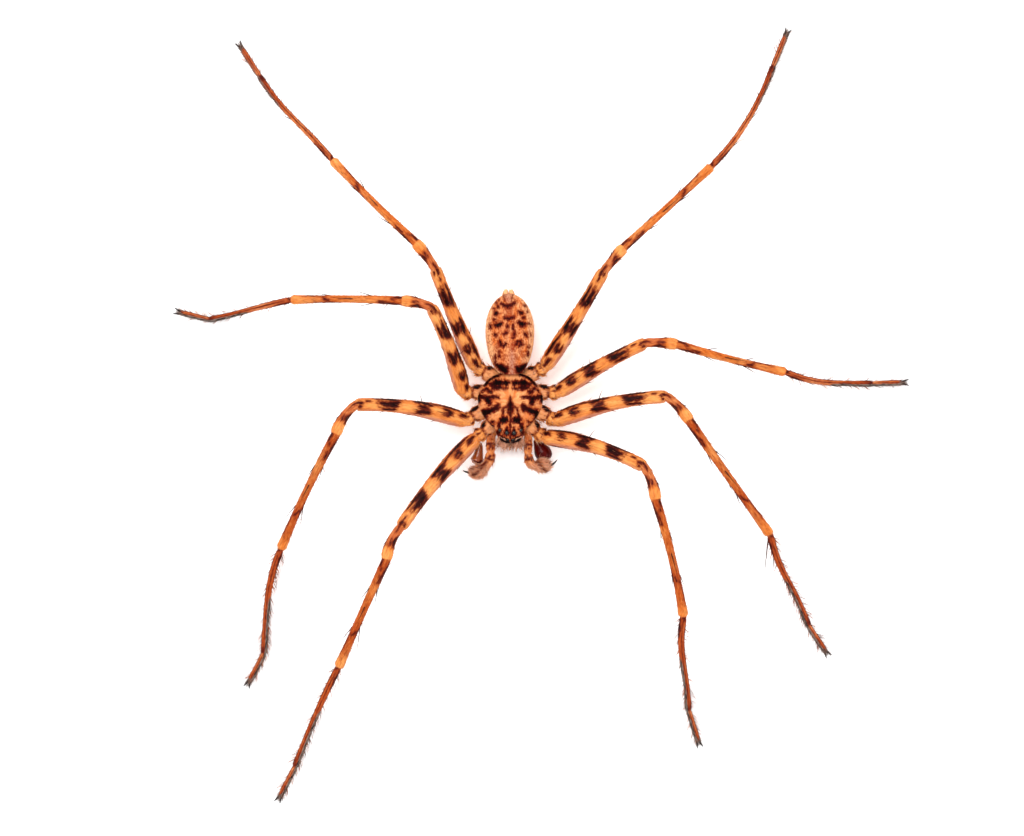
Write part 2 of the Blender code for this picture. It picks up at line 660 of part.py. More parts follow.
def leg_pieces(leg, hip_normal):
    """Femur, shank (patella and tibia) and foot (metatarsus, tarsus and claws)."""
    hip, knee, ankle, wrist, heel, toe = joints(leg)
    femur_bow, patella_bow, tibia_bow, foot_bow = BOW[leg]

    femur_line = lengthwise(hip, knee, femur_bow, FEMUR_WIDTH)
    patella_line = lengthwise(knee, ankle, patella_bow, PATELLA_WIDTH)
    tibia_line = lengthwise(ankle, wrist, tibia_bow, TIBIA_WIDTH)
    heel_line = lengthwise(wrist, heel, foot_bow, METATARSUS_WIDTH, SWAY[leg])
    along = Vector((toe.x - heel.x, toe.y - heel.y, 0.0)).normalized()
    ball_of_foot = toe - along * CLAW_REACH
    tarsus_line = lengthwise(heel, ball_of_foot, 0.0, TARSUS_WIDTH, sag=True)

    knee_normal = ((knee - hip).normalized() + (ankle - knee).normalized()).normalized()
    wrist_normal = ((wrist - ankle).normalized() + (heel - wrist).normalized()).normalized()

    femur = tube(f"leg_{leg}_femur", lengthen(femur_line), "leg", hip, LEG_FLAT, FEMUR_SIDES)
    trim(femur, hip + hip_normal * GAP / 2.0, -hip_normal)
    trim(femur, knee - knee_normal * GAP / 2.0, knee_normal)
    boolean(femur, spines(femur_line, FEMUR_SPINES, FEMUR_SPINE), "UNION")

    shank_line = patella_line[:-1] + tibia_line
    shank = tube(f"leg_{leg}_shank", lengthen(shank_line), "leg", knee, LEG_FLAT)
    trim(shank, knee + knee_normal * GAP / 2.0, -knee_normal)
    trim(shank, wrist - wrist_normal * GAP / 2.0, wrist_normal)
    boolean(shank, spines(patella_line, PATELLA_SPINES, PATELLA_SPINE)
            + spines(tibia_line, TIBIA_SPINES, SHANK_SPINE), "UNION")

    foot_line = heel_line[:-1] + tarsus_line
    foot = tube(f"leg_{leg}_foot", lengthen(foot_line)[:-1], "foot", wrist, LEG_FLAT)
    trim(foot, wrist + wrist_normal * GAP / 2.0, -wrist_normal)
    boolean(foot, spines(heel_line, METATARSUS_SPINES, SHANK_SPINE)
            + claws(ball_of_foot, along), "UNION")
    trim(foot, (0.0, 0.0, 0.0), Vector((0.0, 0.0, -1.0)))


def pedicel(body, behind):
    (x0, y0, z0), (x1, y1, z1), radius = PEDICEL
    waist = tube("pedicel", ((x0, y0, z0, radius), (x1, y1, z1, radius)), "carapace")
    clear_of(waist, [body, behind])


def stand_on_floor():
    """Moves the whole model, by its parent, so that its box stands centred on the origin."""
    parts = list(bpy.data.collections["huntsman_spider"].objects)
    corners = [obj.matrix_world @ vert.co for obj in parts for vert in obj.data.vertices]
    low = Vector([min(corner[i] for corner in corners) for i in range(3)])
    high = Vector([max(corner[i] for corner in corners) for i in range(3)])
    frame = bpy.data.objects.new("spider_frame", None)
    bpy.data.collections["huntsman_spider"].objects.link(frame)
    frame.location = (-(low.x + high.x) / 2.0, -(low.y + high.y) / 2.0, -low.z)
    for obj in parts:
        obj.parent = frame
        obj.data.shade_smooth()
        obj.data.set_sharp_from_angle(angle=math.radians(SMOOTH_ANGLE))


def main():
    start()
    body = cephalothorax()
    hips = {}
    normals = {}
    for side in ("L", "R"):
        for pair in (1, 2, 3, 4):
            leg = f"{side}{pair}"
            before = [hips[f"{side}{pair - 1}"]] if pair > 1 else []
            hips[leg], normals[leg] = coxa(leg, body, before)
    behind = abdomen([body, hips["L4"], hips["R4"]])
    pedicel(body, behind)
    jaw = jaws(body, hips)
    for side in ("L", "R"):
        palp(side, body, hips[side + "1"], jaw[side])
    eyes(body)
    for leg, normal in normals.items():
        leg_pieces(leg, normal)
    bpy.context.view_layer.update()
    stand_on_floor()
    bpy.data.collections.remove(bpy.data.collections["cutters"])


main()
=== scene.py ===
# %% [markdown]
# # A huntsman spider, life size
# The model is a male huntsman spider standing on eight spread legs, as a museum would show it.
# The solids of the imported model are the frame: they say where each joint is and how wide each
# piece may be. Here they get their looks: one continuous skin for each leg and each half of the
# body, the markings, the short hair, the spines, and glossy eyes.

# %% Load the frame
import math

import bpy
import numpy as np
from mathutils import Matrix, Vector


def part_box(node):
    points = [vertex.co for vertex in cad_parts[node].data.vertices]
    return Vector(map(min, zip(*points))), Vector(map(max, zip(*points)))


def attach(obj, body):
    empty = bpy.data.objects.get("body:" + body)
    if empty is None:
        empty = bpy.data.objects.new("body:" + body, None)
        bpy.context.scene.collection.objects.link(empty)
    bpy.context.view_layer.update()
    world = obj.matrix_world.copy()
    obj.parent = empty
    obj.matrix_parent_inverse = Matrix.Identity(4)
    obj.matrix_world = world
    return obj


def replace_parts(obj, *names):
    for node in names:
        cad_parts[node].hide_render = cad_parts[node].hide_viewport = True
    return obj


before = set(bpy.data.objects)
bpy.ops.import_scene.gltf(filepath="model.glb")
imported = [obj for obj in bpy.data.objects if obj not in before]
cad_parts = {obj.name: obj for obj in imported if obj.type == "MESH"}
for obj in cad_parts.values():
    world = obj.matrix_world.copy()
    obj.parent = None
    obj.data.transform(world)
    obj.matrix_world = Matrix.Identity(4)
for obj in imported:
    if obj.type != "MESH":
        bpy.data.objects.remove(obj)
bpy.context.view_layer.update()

MM = 0.001

# %% [markdown]
# ## Where the spider stands
# All sizes below are millimetres measured from the middle of the head shield, +Y to the tail and
# +X to the spider's left. The solids stand centred on their box instead, so one offset, read
# from the box of the front half of the body, carries every point over.

# %% From the spider's own axes to the frame
SHIELD_REAR = 4.38
body_low, body_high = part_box("cephalothorax")
ORIGIN = np.array([(body_low.x + body_high.x) / 2.0 / MM, body_high.y / MM - SHIELD_REAR, 0.0])
print("the spider's middle lies at", np.round(ORIGIN, 3), "mm")


def in_frame(points):
    """Points in millimetres on the spider, as metres in the frame."""
    return (np.asarray(points, float) + ORIGIN) * MM


# %% [markdown]
# ## Camera
# The photograph looks straight down. A long lens from 600 mm keeps the raised knees from
# spreading outwards, as they would under a short one. One pixel on the floor is 0.1285 mm, so
# the lens follows from the sensor's width, and the camera's axis meets the floor near the
# middle of the picture.

# %% Camera
PICTURE = (1024, 836)
FLOOR_PIXEL = 0.1285
CAMERA_HEIGHT = 600.0
AXIS = (0.204, -1.404)
SENSOR = 36.0
camera = bpy.data.objects.new("camera", bpy.data.cameras.new("camera"))
bpy.context.scene.collection.objects.link(camera)
camera.data.sensor_width = SENSOR
camera.data.lens = CAMERA_HEIGHT * SENSOR / (PICTURE[0] * FLOOR_PIXEL)
camera.data.clip_start = 0.01
camera.location = Vector(in_frame((*AXIS, CAMERA_HEIGHT)))
bpy.context.scene.camera = camera
print("lens", round(camera.data.lens, 1), "mm")

# %% [markdown]
# ## Colours and one helper for nodes
# Colours are written as they would be picked on a screen and turned to linear light once. The
# helper adds one shader node with its settings and its links. Without it each node would take
# five lines, and what happens to a colour would be lost among them.

# %% Helpers for materials


def linear(hex_colour):
    """An sRGB hex colour as linear RGBA."""
    parts = [int(hex_colour[i:i + 2], 16) / 255.0 for i in (1, 3, 5)]
    toned = [c / 12.92 if c <= 0.04045 else ((c + 0.055) / 1.055) ** 2.4 for c in parts]
    return (*toned, 1.0)


def add_node(tree, kind, sockets=None, **settings):
    """Adds a node; sockets maps an input to a value or to the output that feeds it."""
    made = tree.nodes.new("ShaderNode" + kind)
    for name, value in settings.items():
        setattr(made, name, value)
    for name, value in (sockets or {}).items():
        if isinstance(value, bpy.types.NodeSocket):
            tree.links.new(value, made.inputs[name])
        else:
            made.inputs[name].default_value = value
    return made


def new_material(name):
    """A material with its node tree and its shader, with no colour yet."""
    made = bpy.data.materials.new(name)
    made.use_nodes = True
    return made, made.node_tree, made.node_tree.nodes["Principled BSDF"]


print("mid grey in linear light:", round(linear("#808080")[0], 3))

# %% [markdown]
# ## Light table
# The spider stands on a light table: a sheet of opal acrylic, lit from below. The glow is what
# takes the shadows away in such a picture, as a white sheet under the same lamps would show
# grey ones. A lamp under a see-through sheet would do it too, but slowly. One white plane that
# gives off a little light of its own looks the same.

# %% Sheet of the light table
SHEET_SIDE = 6.0
SHEET_BELOW_FEET = 0.02 * MM
sheet_mesh = bpy.data.meshes.new("floor")
half = SHEET_SIDE / 2.0
corners = [(-half, -half, 0.0), (half, -half, 0.0), (half, half, 0.0), (-half, half, 0.0)]
sheet_mesh.from_pydata(corners, [], [(0, 1, 2, 3)])
sheet = bpy.data.objects.new("floor", sheet_mesh)
sheet.location.z = -SHEET_BELOW_FEET
bpy.context.scene.collection.objects.link(sheet)
print("sheet:", SHEET_SIDE, "m wide")

# %% [markdown]
# ## Opal acrylic
# The sheet is cast acrylic with white pigment in it, and a matt face. The eye sees an even,
# dull white without any edge. Its cloudiness is far finer than a pixel, so it is drawn
# 6.7 mm wide, and then only just shows.

# %% Opal acrylic, cast and matt
CLOUD_IN_ACRYLIC = 6.66667 * MM
ACRYLIC_IOR = 1.49
SHEET_GLOW = 0.3
opal_acrylic, tree, shader = new_material("lit_opal_acrylic")
grain = add_node(tree, "TexNoise", {"Scale": SHEET_SIDE / CLOUD_IN_ACRYLIC, "Detail": 3.0})
tint = add_node(tree, "Mix", {0: grain.outputs[0], 6: linear("#F8F8F8"), 7: linear("#FCFCFC")},
                data_type="RGBA")
tree.links.new(tint.outputs[2], shader.inputs["Base Color"])
shader.inputs["IOR"].default_value = ACRYLIC_IOR
shader.inputs["Roughness"].default_value = 0.9
shader.inputs["Specular IOR Level"].default_value = 0.1
shader.inputs["Emission Color"].default_value = (1.0, 1.0, 1.0, 1.0)
shader.inputs["Emission Strength"].default_value = SHEET_GLOW
sheet_mesh.materials.append(opal_acrylic)
print("sheet is of", opal_acrylic.name)

# %% [markdown]
# ## Room and soft boxes
# A white room gives even light from all sides, and is one plain world colour here. Two soft
# boxes add the gloss on the shield and on the polished pieces. They are square area lights, as
# a bare lamp would draw hard shadows that the photograph doesn't have.

# %% Room and soft boxes
ROOM_BRIGHTNESS = 0.86
world = bpy.data.worlds.new("studio")
world.use_nodes = True
room = world.node_tree.nodes["Background"]
room.inputs["Color"].default_value = (1.0, 1.0, 1.0, 1.0)
room.inputs["Strength"].default_value = ROOM_BRIGHTNESS
bpy.context.scene.world = world
bpy.context.scene.view_settings.view_transform = "Standard"


def soft_box(name, place, side, watts):
    """A square area light, in metres, that faces the spider."""
    light = bpy.data.lights.new(name, "AREA")
    light.shape = "SQUARE"
    light.size = side
    light.energy = watts
    lamp = bpy.data.objects.new(name, light)
    lamp.location = place
    lamp.rotation_euler = (-Vector(place)).to_track_quat("-Z", "Y").to_euler()
    bpy.context.scene.collection.objects.link(lamp)


soft_box("soft_box_above", (-0.25, 0.3, 0.9), side=0.5, watts=6.0)
soft_box("soft_box_side", (0.7, -0.2, 0.6), side=0.4, watts=1.6)
print("lights:", len(bpy.data.lights))

# %% [markdown]
# ## Chitin
# A spider's skin is chitin: a horn-like shell, tanned hard on the back and legs, leathery on
# the abdomen. It has a soft gloss like satin varnish, with an IOR of about 1.55. The colour
# lies inside it, so an orange ground shows through darker pigment with soft, ragged edges.
# A painted image would be the usual way. Here each skin carries six numbers on its vertices
# instead: how much there is of four pigments, and how far a point lies inside a dark or a
# black mark, in millimetres. The shader frays that distance with noise and cuts it, which
# keeps an edge crisp however coarse the mesh is.

# %% Patterns in chitin, in millimetres
# Clouds of pigment and mottle have the real size. Hair roots stand in rows only 0.02 mm apart,
# too fine to show, so the lines they make are drawn 0.09 mm and 0.14 mm wide.
PIGMENTS = ("brown", "pale", "dusk", "grey", "dark", "black")
PATTERNS = {
    "clouds": {"size": 1.25, "detail": 2.0, "roughness": 0.6},
    "mottle": {"size": 0.238095, "detail": 4.0, "roughness": 0.6},
    "hair_lines": {"size": 0.0909091, "detail": 2.0, "roughness": 0.5},
    "strands": {"size": 0.142857, "detail": 2.0, "roughness": 0.5},
}
CHITIN_IOR = 1.55
RELIEF_DEPTH = 0.04 * MM
ASH = ("#241A17", "#7C6A60")
print("patterns:", {name: pattern["size"] for name, pattern in PATTERNS.items()}, "mm")

# %% The chitin material


def chitin(name, colours, rough=0.42, ragged=0.2, cloudy=1.0, mottled=0.5, streaked=0.5, relief=0.8,
           gloss=0.06):
    """Pigmented chitin with painted highlights along its hair lines; colours run pale, ground, deep,
    dusk, red, dark, black.
    """
    pale, ground, deep, dusk, red, dark, black = (linear(colour) for colour in colours)
    made, tree, shader = new_material(name)
    weave = add_node(tree, "Attribute", attribute_name="weave").outputs["Vector"]
    amount = {pigment: add_node(tree, "Attribute", attribute_name=pigment).outputs["Fac"]
              for pigment in PIGMENTS}
    for pattern, looks in PATTERNS.items():
        sockets = {"Vector": weave, "Scale": 1.0 / looks["size"], "Detail": looks["detail"],
                   "Roughness": looks["roughness"]}
        amount[pattern] = add_node(tree, "TexNoise", sockets).outputs[0]
    # The two noises together average 1, and become a push of the edges in and out, in mm
    rough_skin = add_node(tree, "Math", {0: amount["mottle"], 1: amount["hair_lines"]},
                          operation="ADD").outputs[0]
    push = add_node(tree, "Math", {0: rough_skin, 1: 3.0 * ragged, 2: -3.0 * ragged},
                    operation="MULTIPLY_ADD").outputs[0]
    for mark in ("dark", "black", "grey"):
        pushed = add_node(tree, "Math", {0: amount[mark], 1: push}, operation="ADD")
        amount[mark] = pushed.outputs[0]
    # Brown skin has the most red strands in it
    sockets = {0: amount["brown"], 1: -0.3, 2: 0.5, 3: 0.0, 4: streaked}
    red_strands = add_node(tree, "MapRange", sockets, interpolation_type="SMOOTHSTEP").outputs[0]
    sockets = {0: amount["strands"], 1: 0.38, 2: 0.6, 3: 0.0, 4: 1.0}
    shade = add_node(tree, "MapRange", sockets, interpolation_type="SMOOTHSTEP").outputs[0]
    sockets = {0: shade, 6: linear(ASH[0]), 7: linear(ASH[1])}
    ash = add_node(tree, "Mix", sockets, data_type="RGBA").outputs[2]
    # What a layer follows, from where to where, how, how much at most, and its colour
    layers = (
        ("clouds", 0.35, 0.65, "SMOOTHSTEP", cloudy, pale),
        ("pale", 0.0, 1.0, "LINEAR", 1.0, pale),
        ("dusk", 0.0, 1.0, "LINEAR", 1.0, dusk),
        ("mottle", 0.42, 0.64, "SMOOTHSTEP", mottled, deep),
        ("brown", 0.0, 1.0, "LINEAR", 1.0, deep),
        ("strands", 0.52, 0.66, "SMOOTHSTEP", red_strands, red),
        # Pale streaks between the hair lines: partly paler hair, partly painted highlights that stand
        # for glints of light along the rows
        ("strands", 0.46, 0.34, "SMOOTHSTEP", streaked * 0.5, pale),
        ("dark", -0.42, 0.05, "SMOOTHSTEP", 0.65, deep),
        ("dark", -0.2, 0.04, "SMOOTHSTEP", 1.0, red),
        ("dark", -0.03, 0.18, "SMOOTHSTEP", 1.0, dark),
        ("black", -0.1, 0.12, "SMOOTHSTEP", 1.0, black),
        ("grey", 0.3, 0.7, "SMOOTHSTEP", 1.0, ash),
    )
    colour = ground
    for source, low, high, curve, most, over in layers:
        share = add_node(tree, "MapRange", {0: amount[source], 1: low, 2: high, 3: 0.0, 4: most},
                         interpolation_type=curve).outputs[0]
        colour = add_node(tree, "Mix", {0: share, 6: colour, 7: over}, data_type="RGBA").outputs[2]
    tree.links.new(colour, shader.inputs["Base Color"])
    shader.inputs["Roughness"].default_value = rough
    shader.inputs["IOR"].default_value = CHITIN_IOR
    shader.inputs["Specular IOR Level"].default_value = gloss
    shader.inputs["Metallic"].default_value = 0.0
    bumps = add_node(tree, "Bump", {"Strength": relief, "Distance": RELIEF_DEPTH,
                                    "Height": rough_skin})
    tree.links.new(bumps.outputs[0], shader.inputs["Normal"])
    return made


print("chitin has", len(PIGMENTS), "pigments and", len(PATTERNS), "patterns")

# %% Three kinds of chitin
LEG_COLOURS = ("#F4A45A", "#DE762A", "#A84214", "#C88670", "#621A0C", "#2A0403", "#0C0102")
SHIELD_COLOURS = ("#FAAC6C", "#E88444", "#B04A1E", "#B06C52", "#661008", "#2C0303", "#0E0101")
ABDOMEN_COLOURS = ("#FFC28A", "#E47834", "#98300F", "#BE8068", "#6A140A", "#2C0403", "#100101")
# Waxy tube of a leg, tanned in air: satin orange with crisp marks and fine lines along it
leg_chitin = chitin("waxy_leg_chitin", LEG_COLOURS, ragged=0.14, mottled=0.4)
# Thick plate under down: the same tan, but duller and blurred by the hair
shield_chitin = chitin("shield_chitin", SHIELD_COLOURS, rough=0.45, ragged=0.22, streaked=0.35,
                       gloss=0.03)
# Soft, leathery skin under a dense coat: a fine mottle with hardly any gloss
abdomen_skin = chitin("leathery_abdomen_skin", ABDOMEN_COLOURS, rough=0.6, cloudy=0.5, mottled=0.85,
                      gloss=0.04)
print("chitin:", leg_chitin.name, shield_chitin.name, abdomen_skin.name)

# %% [markdown]
# ## Marks as strokes
# On the real skin a mark is a patch of dark pigment with a frayed edge. Here it is drawn as a
# brush stroke: a few points with a brush radius. A drawn texture would need an unwrap and many
# pixels. The distance of a vertex inside the nearest stroke is all that the shader needs, and
# strokes work on the flat back as well as round a leg.

# %% Distance inside a set of strokes
FAR_OUTSIDE = -9.0


def inside(u, v, strokes):
    """How far each point (u, v) lies inside the nearest stroke of (u, v, radius) points."""
    best = np.full(np.shape(u), FAR_OUTSIDE)
    for stroke in strokes:
        points = list(stroke) if len(stroke) > 1 else [stroke[0], stroke[0]]
        for (u0, v0, r0), (u1, v1, r1) in zip(points, points[1:]):
            squared = (u1 - u0) ** 2 + (v1 - v0) ** 2
            ahead = (u - u0) * (u1 - u0) + (v - v0) * (v1 - v0)
            part = np.clip(ahead / squared, 0.0, 1.0) if squared else 0.0 * u
            away = np.hypot(u - u0 - part * (u1 - u0), v - v0 - part * (v1 - v0))
            best = np.maximum(best, r0 + (r1 - r0) * part - away)
    return best


dot = [((0.0, 0.0, 0.3),)]
beside = inside(np.array([0.1]), np.zeros(1), dot)
print("0.1 mm beside the middle of a 0.3 mm dot is", beside, "inside")

# %% Smooth steps and bumps


def step(value, low, high):
    """A smooth step from 0 to 1."""
    part = np.clip((value - low) / (high - low), 0.0, 1.0)
    return part * part * (3.0 - 2.0 * part)


def hill(value, middle, reach):
    """A smooth bump of height 1."""
    return np.exp(-((value - middle) / reach) ** 2)


print("step and hill:", step(0.25, 0.0, 1.0), hill(0.25, 0.0, 1.0).round(3))

# %% [markdown]
# ## Skins from rings
# Every skin here is a loft: rings of points along a line, joined by quads. A curve object with
# a bevel would do for a plain tube, but rings can also swell, flatten and dent, and they carry
# the numbers for the marks. Arrays are handed to Blender in one go, as adding thousands of
# vertices one by one would be slow.

# %% A mesh from arrays


def store(mesh, values):
    """Puts numbers or vectors on the vertices, for the shader to read."""
    for name, data in values.items():
        data = np.asarray(data, np.float32)
        kind, key = ("FLOAT_VECTOR", "vector") if data.ndim > 1 else ("FLOAT", "value")
        mesh.attributes.new(name, kind, "POINT").data.foreach_set(key, data.ravel())


def volume(points, faces):
    """Volume inside closed faces, negative where they look inwards."""
    total = 0.0
    for block in faces:
        for near, far in zip(range(1, block.shape[1] - 1), range(2, block.shape[1])):
            a, b, c = points[block[:, 0]], points[block[:, near]], points[block[:, far]]
            total += (a * np.cross(b, c)).sum() / 6.0
    return total


def piece(name, points, faces, material, values):
    """A named piece of the spider, from points in millimetres on it."""
    mesh = bpy.data.meshes.new(name)
    points = in_frame(points)
    mesh.vertices.add(len(points))
    mesh.vertices.foreach_set("co", points.astype(np.float32).ravel())
    faces = [np.asarray(block, np.int32) for block in faces if len(block)]
    if volume(points, faces) < 0.0:
        faces = [block[:, ::-1] for block in faces]
    loops = np.concatenate([block.ravel() for block in faces])
    sizes = np.concatenate([np.full(len(block), block.shape[1]) for block in faces])
    starts = np.concatenate([[0], np.cumsum(sizes)[:-1]]).astype(np.int32)
    mesh.loops.add(len(loops))
    mesh.loops.foreach_set("vertex_index", loops)
    mesh.polygons.add(len(sizes))
    mesh.polygons.foreach_set("loop_start", starts)
    mesh.update(calc_edges=True)
    mesh.shade_smooth()
    store(mesh, values)
    mesh.materials.append(material)
    made = bpy.data.objects.new(name, mesh)
    bpy.context.scene.collection.objects.link(made)
    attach(made, "root")
    return made


corner_points = np.array([(0, 0, 0), (1, 0, 0), (0, 1, 0), (0, 0, 1)])
corner_faces = [np.array([(0, 2, 1), (0, 1, 3), (1, 2, 3), (2, 0, 3)])]
print("the corner of a cube holds", round(float(volume(corner_points, corner_faces)), 3), "of it")

# %% Rings and their ends


def ring_faces(rings, sides):
    """Quads between rings, and a fan to one extra point at each end."""
    i, j = np.meshgrid(np.arange(rings - 1), np.arange(sides), indexing="ij")
    k = (j + 1) % sides
    quads = np.stack([i * sides + j, i * sides + k, (i + 1) * sides + k, (i + 1) * sides + j], -1)
    j = np.arange(sides)
    k = (j + 1) % sides
    first, last = rings * sides, rings * sides + 1
    top = np.stack([np.full(sides, first), k, j], -1)
    end = (rings - 1) * sides
    bottom = np.stack([np.full(sides, last), end + j, end + k], -1)
    return [quads.reshape(-1, 4), top, bottom]


def with_ends(grid):
    """Grid values, ring by ring, followed by those of the two end points."""
    grid = np.asarray(grid, float)
    flat = grid.reshape(-1, *grid.shape[2:])
    ends = np.stack([grid[0].mean(axis=0), grid[-1].mean(axis=0)])
    return np.concatenate([flat, ends])


print("3 rings of 8 points make", sum(len(block) for block in ring_faces(3, 8)), "faces")

# %% Skins that can be planted with hair
SKINS = {}


def unit(vectors):
    """Vectors made one long."""
    return vectors / np.maximum(np.linalg.norm(vectors, axis=-1), 1e-9)[..., None]


def unmarked(part):
    """A skin without pigments: amounts of 0, and marks far away."""
    zero = 0.0 * part
    return {pigment: zero + (FAR_OUTSIDE if pigment in ("dark", "black") else 0.0)
            for pigment in PIGMENTS}


def remember(name, grid, values):
    """Keeps a skin's grid for planting: its points, its normals and the way along it."""
    along = np.gradient(grid, axis=0)
    around = (np.roll(grid, -1, axis=1) - np.roll(grid, 1, axis=1)) / 2.0
    normal = np.cross(along, around)
    outward = grid - grid.mean(axis=1)[:, None, :]
    flip = np.sign((normal * outward).sum())
    SKINS[name] = {"points": grid, "normal": unit(normal) * flip, "along": unit(along),
                   "area": np.linalg.norm(normal, axis=-1), **values}


def skin(name, grid, values, material):
    """A closed piece from a grid of points, remembered without the word skin."""
    remember(name.removeprefix("skin_"), grid, values)
    values = {key: with_ends(data) for key, data in values.items()}
    return piece(name, with_ends(grid), ring_faces(*grid.shape[:2]), material, values)


print("a bare skin carries", sorted(unmarked(np.zeros(1))))

# %% [markdown]
# ## Hair as thin solid spikes
# A spider's hair is part of its coat as much as the colour. A particle system would draw it,
# but it would not be solid in an exported model. So each hair is a thin three-sided spike with
# its root in the skin. Hairs are planted on the grid of a skin, and each one takes its root's
# place, its direction and its pigments from there.

# %% Read a skin between its points
TRIES = 40
LARGE_CELLS = 98


def read(skin_name, key, s, t):
    """A value of a skin between its rings (s) and round it (t, from 0 to 1)."""
    grid = SKINS[skin_name][key]
    rings, sides = grid.shape[:2]
    i = np.clip(np.floor(s).astype(int), 0, rings - 2)
    wide = (t % 1.0) * sides
    j = np.floor(wide).astype(int) % sides
    a, b = s - i, wide - np.floor(wide)
    if grid.ndim > 2:
        a, b = a[:, None], b[:, None]
    near = grid[i, j] * (1.0 - b) + grid[i, (j + 1) % sides] * b
    far = grid[i + 1, j] * (1.0 - b) + grid[i + 1, (j + 1) % sides] * b
    return near * (1.0 - a) + far * a


def scatter(skin_name, count, rng, chance):
    """Places (s, t) spread evenly over the part of a skin that chance(s, t) allows."""
    rings = SKINS[skin_name]["points"].shape[0]
    largest = np.percentile(SKINS[skin_name]["area"], LARGE_CELLS)
    s = rng.uniform(0.0, rings - 1.001, count * TRIES)
    t = rng.uniform(0.0, 1.0, count * TRIES)
    keep = rng.uniform(0.0, largest, len(s)) < read(skin_name, "area", s, t) * chance(s, t)
    return s[keep][:count], t[keep][:count]


def everywhere(s, t):
    """The same chance of a hair all over a skin."""
    return 0.0 * s + 1.0


print("places tried for each hair:", TRIES)

# %% Grow hairs at places of a skin
UNEVEN_LEAN = 6.0
UNEVEN_LENGTH = (0.7, 1.15)
BEND = 0.2


def grow(skin_name, s, t, rng, length, lean, radius, forward=1.0, spread=0.12, sink=0.04):
    """Hairs as roots, directions, bends, lengths, radii and pigments; lean in degrees."""
    count = len(s)
    normal, along = unit(read(skin_name, "normal", s, t)), unit(read(skin_name, "along", s, t))
    lean = np.radians(lean + rng.normal(0.0, UNEVEN_LEAN, count))[:, None]
    way = normal * np.cos(lean) + along * forward * np.sin(lean)
    way = unit(way + rng.normal(0.0, spread, (count, 3)))
    length = length * rng.uniform(*UNEVEN_LENGTH, count)
    root = read(skin_name, "points", s, t) - normal * sink
    rings = SKINS[skin_name]["points"].shape[0]
    place = np.stack([0.01 + 0.97 * s / rings, 0.01 + 0.97 * (t % 1.0)], -1)
    values = {key: read(skin_name, key, s, t) for key in (*PIGMENTS, "weave")}
    return {"root": root, "way": way, "bend": along * forward * BEND, "length": length,
            "radius": np.full(count, radius), "place": place, **values}


def some_dark(tuft, rng, share, depth, others=None):
    """Makes a share of the hairs as dark as this deep inside a dark mark."""
    chosen = rng.uniform(0.0, 1.0, len(tuft["length"])) < share
    tuft["dark"] = np.where(chosen, depth, tuft["dark"] if others is None else others)


print("hairs have", UNEVEN_LENGTH, "of their full length")

# %% One mesh of many hairs
BAKE_PATCH = 0.003
LOWEST_HAIR = 0.02
TAPER = 0.7
# Hardly any hair points this way
ODD_WAY = np.array([0.31, 0.17, 0.93])


def coat(name, tufts, material, rows=1):
    """A mesh of all hairs of some tufts, each spike with this many rows of faces."""
    all_of = {key: np.concatenate([tuft[key] for tuft in tufts]) for key in tufts[0]}
    root, way, bend = all_of["root"], all_of["way"], all_of["bend"]
    count = len(root)
    side = unit(np.cross(way, ODD_WAY))
    other = np.cross(way, side)
    part = np.arange(rows + 1) / rows
    reach = all_of["length"][:, None, None] * part[None, :, None]
    middle = root[:, None] + way[:, None] * reach + bend[:, None] * reach * part[None, :, None]
    middle[..., 2] = np.maximum(middle[..., 2], LOWEST_HAIR)
    angle = np.radians([0.0, 120.0, 240.0])[None, :, None]
    ring = side[:, None] * np.cos(angle) + other[:, None] * np.sin(angle)
    thick = all_of["radius"][:, None] * (1.0 - part[None, :-1]) ** TAPER
    rings = middle[:, :-1, None] + thick[..., None, None] * ring[:, None]
    points = np.concatenate([rings.reshape(count, -1, 3), middle[:, -1:]], axis=1)
    values = {key: np.repeat(all_of[key], rows * 3 + 1, axis=0) for key in (*PIGMENTS, "weave")}
    made = piece(name, points.reshape(-1, 3), spike_faces(count, rows), material, values)
    lay_out(made.data, all_of["place"], rows)


def spike_faces(count, rows):
    """Quads up the sides of each spike, triangles at its tip and one at its root."""
    size = rows * 3 + 1
    quads = [(3 * k + j, 3 * k + (j + 1) % 3, 3 * k + 3 + (j + 1) % 3, 3 * k + 3 + j)
             for k in range(rows - 1) for j in range(3)]
    last = 3 * (rows - 1)
    spikes = [(last + j, last + (j + 1) % 3, size - 1) for j in range(3)] + [(2, 1, 0)]
    base = np.arange(count)[:, None, None] * size
    return [(np.array(block)[None] + base).reshape(-1, len(block[0]))
            for block in (quads, spikes) if block]


def lay_out(mesh, place, rows):
    """A map for baking, with each spike as a small patch at its root's place on the skin."""
    corner = np.arange(rows * 3 + 1)
    patch = np.stack([corner % 3, corner // 3], -1) * BAKE_PATCH / max(2, rows)
    uv = (place[:, None, :] + patch[None]).reshape(-1, 2)
    loops = np.zeros(len(mesh.loops), np.int32)
    mesh.loops.foreach_get("vertex_index", loops)
    mesh.uv_layers.new(name="OFBake").data.foreach_set("uv", uv[loops].astype(np.float32).ravel())


print("a hair of two rows has", sum(len(block) for block in spike_faces(1, 2)), "faces")

# %% [markdown]
# ## How the legs run
# A huntsman's legs leave the body sideways, as a crab's do, and have seven segments each. The
# numbers are those of the solids: where a leg leaves the body, how long its segments are, which
# way each one points and how high its far joint stands. An armature could bend a straight leg
# into the pose, but a still model needs none, and headings are quickly read off a photograph.

